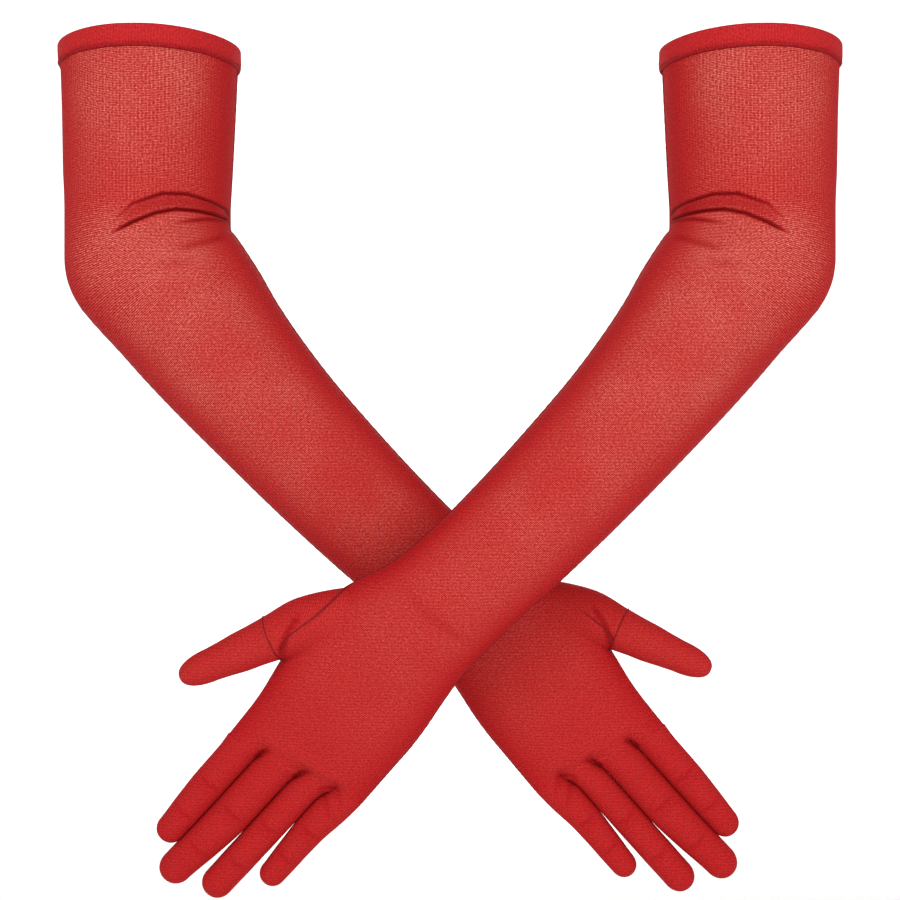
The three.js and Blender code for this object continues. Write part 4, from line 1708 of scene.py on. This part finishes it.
    def make_elastic(self) -> None:
        """Makes the flat elastic tape that lies inside the folded hem, a closed ring."""
        lo, hi = (np.array(v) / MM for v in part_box(self.name("hem_elastic")))
        centre, half = (lo + hi) / 2, (hi - lo) / 2
        angle = 2 * np.pi * np.arange(120) / 120
        thick = 0.6
        section = np.array([(0.0, hi[2]), (0.0, lo[2]), (thick, lo[2]), (thick, hi[2])])
        inset = section[:, 0][None]
        x = centre[0] + np.cos(angle)[:, None] * (half[0] - inset)
        y = centre[1] - np.sin(angle)[:, None] * (half[1] - inset)
        points = raised(np.stack([x, y, np.broadcast_to(section[:, 1], x.shape)], -1))
        index = np.arange(480).reshape(120, 4)
        nxt = np.roll(index, -1, 0)
        quads = np.stack([index, np.roll(index, -1, 1), np.roll(nxt, -1, 1), nxt], -1)
        tape = object_from(self.name("elastic_tape"), points.reshape(-1, 3), quads.reshape(-1, 4))
        tape.data.shade_flat()
        self.finish(tape, "elastic", "elastic_tape", "hem_elastic")
        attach(tape, self.name("upper_arm"))

    def make_stitches(self, centre: Array, half: Array, level: float) -> None:
        """Sews the hem: short threads end to end round it, each a capsule seen from outside.

        Args:
            centre: The hem's centre.
            half: Its half sizes.
            level: The stitches' height.
        """
        count = 128
        middle = 2 * np.pi * np.arange(count) / count
        run = np.linspace(-0.36, 0.36, 5) * 2 * np.pi / count
        angle = middle[:, None] + run[None]
        bulge = np.array([0.02, 0.16, 0.2, 0.16, 0.02])
        rx, ry = half[0] - 0.42 + bulge, half[1] - 0.42 + bulge
        line = np.stack(
            [
                centre[0] + np.cos(angle) * rx,
                centre[1] - np.sin(angle) * ry,
                np.full(angle.shape, level),
            ],
            -1,
        )
        radius = np.array([0.1, 0.2, 0.22, 0.2, 0.1])
        outward = np.stack([np.cos(angle), -np.sin(angle), np.zeros(angle.shape)], -1)
        up = np.array([0.0, 0.0, 1.0])
        turn = 2 * np.pi * np.arange(6) / 6
        ring = (
            line[:, :, None]
            + radius[None, :, None, None]
            * (
                np.cos(turn)[None, None, :, None] * outward[:, :, None]
                + np.sin(turn)[None, None, :, None] * up
            )
        )
        flat = raised(ring.reshape(-1, 3))
        index = np.arange(len(flat)).reshape(count, 5, 6)
        a, b = index[:, :-1], index[:, 1:]
        quads = np.stack([a, b, np.roll(b, -1, 2), np.roll(a, -1, 2)], -1).reshape(-1, 4)
        caps = index[:, 0].tolist() + index[:, -1, ::-1].tolist()
        stitches = object_from(self.name("hem_stitches"), flat, quads, caps)
        self.finish(stitches, "thread", "seam_thread")
        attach(stitches, self.name("upper_arm"))

    def make_seams(self) -> None:
        """Makes the side seams as raised threads, cut where the cloth is cut."""
        bands = self.sleeve.patch().bands
        quarter = 4 * self.sleeve.half_columns
        start_of = {n: bands.index(n) for n in ("upper_sleeve", "elbow", "forearm", "wrist", "palm")}
        order = list(start_of) + ["end"]
        start_of["end"] = len(bands)
        where = {
            "upper_sleeve": "upper_arm",
            "elbow": "elbow",
            "forearm": "forearm",
            "wrist": "wrist",
            "palm": "hand",
        }
        stands_for = {
            ("upper_sleeve", "ulnar"): ("upper_ulnar_seam",),
            ("upper_sleeve", "radial"): ("upper_radial_seam",),
            ("forearm", "ulnar"): ("forearm_ulnar_seam",),
            ("forearm", "radial"): ("forearm_radial_seam",),
            ("palm", "ulnar"): ("hand_ulnar_seam",),
        }
        for edge, column in (("radial", 0), ("ulnar", quarter)):
            for piece, following in zip(order[:-1], order[1:]):
                if edge == "radial" and piece == "palm":
                    continue
                rows = slice(start_of[piece], start_of[following] + 1)
                line = self.palm_points[rows, column]
                beat = 1 + 0.16 * np.sin(np.arange(len(line)) * 2.4)
                points, quads = tube(line, 0.42 * beat, 8, closed=False)
                last = len(points)
                caps = [list(range(8))[::-1], list(range(last - 8, last))]
                seam = object_from(self.name(f"{piece}_{edge}_seam"), points, quads, caps)
                self.finish(seam, "thread", "seam_thread", *stands_for.get((piece, edge), ()))
                self.hang(seam, where[piece])

    def make_thumb_seams(self) -> None:
        """Makes the gusset's seam and the ring seam of the thumb."""
        line = self.thumb.seam()
        points, quads = tube(line, np.full(len(line), 0.34), 8, closed=True)
        gusset = object_from(self.name("thumb_gusset_seam"), points, quads)
        self.finish(gusset, "thread", "seam_thread")
        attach(gusset, self.name("hand"))
        ring = self.thumb_ring[:-1]
        points, quads = tube(ring, np.full(len(ring), 0.38), 8, closed=True)
        sewn = object_from(self.name("thumb_ring_seam"), points, quads)
        self.finish(sewn, "thread", "seam_thread")
        self.hang(sewn, "thumb_base")

    def make(self) -> None:
        """Makes every piece of the glove."""
        self.make_cloth()
        self.make_hem()
        self.make_seams()
        self.make_thumb_seams()
        self.make_elastic()


# ---- The room ----


@dataclass
class Studio:
    """A pale sweep, soft lights and the camera."""

    eye: tuple[float, float, float] = (0.0, -0.85, -0.2)
    view_degrees: float = 29.6
    floor: float = -0.62

    def sweep(self) -> None:
        """Makes the floor, which curves up into a wall far behind."""
        run = np.array([(-4.0, 0), (2.2, 0), (2.9, 0.12), (3.4, 0.45), (3.7, 1.0), (3.8, 4.5)])
        knots = np.arange(len(run), dtype=float)
        path = through(knots, run, np.linspace(0, len(run) - 1, 60))
        x = np.array([-6.0, 6.0])
        points = np.stack(
            [
                np.broadcast_to(x[None], (60, 2)),
                np.broadcast_to(path[:, :1], (60, 2)),
                np.broadcast_to(path[:, 1:] + self.floor, (60, 2)),
            ],
            -1,
        ).reshape(-1, 3)
        index = np.arange(120).reshape(60, 2)
        quads = np.stack([index[:-1, 0], index[:-1, 1], index[1:, 1], index[1:, 0]], -1)
        floor = object_from("sweep", points / MM, quads)
        material = bpy.data.materials.new("matt_white_paper")
        material.use_nodes = True
        shader = material.node_tree.nodes["Principled BSDF"]
        shader.inputs["Base Color"].default_value = linear("#fbfbfb")
        shader.inputs["Roughness"].default_value = 0.9
        floor.data.materials.append(material)

    def light(self) -> None:
        """Hangs the soft lights and sets the room's even glow."""
        for name, place, aim, size, power in (
            ("key", (-0.9, -1.9, 1.1), (0, 0, -0.2), 1.6, 20),
            ("fill", (1.3, -1.7, 0.2), (0, 0, -0.25), 1.8, 12),
            ("low", (0.0, -1.3, -0.5), (0, 0, -0.3), 1.2, 3),
            ("back", (0.0, 1.6, 1.2), (0, 3.4, 0.0), 2.6, 60),
        ):
            lamp = bpy.data.lights.new(name, "AREA")
            lamp.shape = "SQUARE"
            lamp.size = size
            lamp.energy = power
            thing = bpy.data.objects.new(name, lamp)
            bpy.context.scene.collection.objects.link(thing)
            thing.location = place
            way = np.array(aim, float) - np.array(place, float)
            thing.rotation_euler = Vector(way).to_track_quat("-Z", "Y").to_euler()
        world = bpy.context.scene.world or bpy.data.worlds.new("room")
        bpy.context.scene.world = world
        world.use_nodes = True
        background = world.node_tree.nodes.get("Background") or world.node_tree.nodes.new(
            "ShaderNodeBackground"
        )
        background.inputs["Color"].default_value = linear("#ffffff")
        background.inputs["Strength"].default_value = 0.5

    def camera(self) -> None:
        """Sets the camera level with the middle of the gloves, in front of them."""
        lens = bpy.data.cameras.new("camera")
        lens.sensor_fit = "VERTICAL"
        lens.angle = math.radians(self.view_degrees)
        thing = bpy.data.objects.new("camera", lens)
        bpy.context.scene.collection.objects.link(thing)
        thing.location = self.eye
        thing.rotation_euler = (math.pi / 2, 0, 0)
        bpy.context.scene.camera = thing
        bpy.context.scene.view_settings.view_transform = "Standard"


def main() -> None:
    """Builds the room and both gloves, and logs the cut size of each piece and each hem's girth."""
    logging.basicConfig(level=logging.INFO, format="%(message)s")
    studio = Studio()
    studio.camera()
    studio.sweep()
    studio.light()
    net = PowerNet()
    looks = {
        "net": net.make(),
        "hem": PowerNet(
            name="folded_power_net",
            yarn="#8f1216",
            dense="#c3262a",
            middle="#cc3433",
            spark="#d8655a",
            hole_pitch=0.8,
        ).make(),
        "thread": SpunThread().make(),
        "elastic": SpunThread(name="woven_elastic", colour="#a3383a", light="#cf6c68", twist=1.2).make(),
    }
    for hand in Hand:
        glove = Glove(hand, looks)
        glove.make()
        LOG.info("%s glove made", hand.value)


if __name__ == "__main__":
    main()
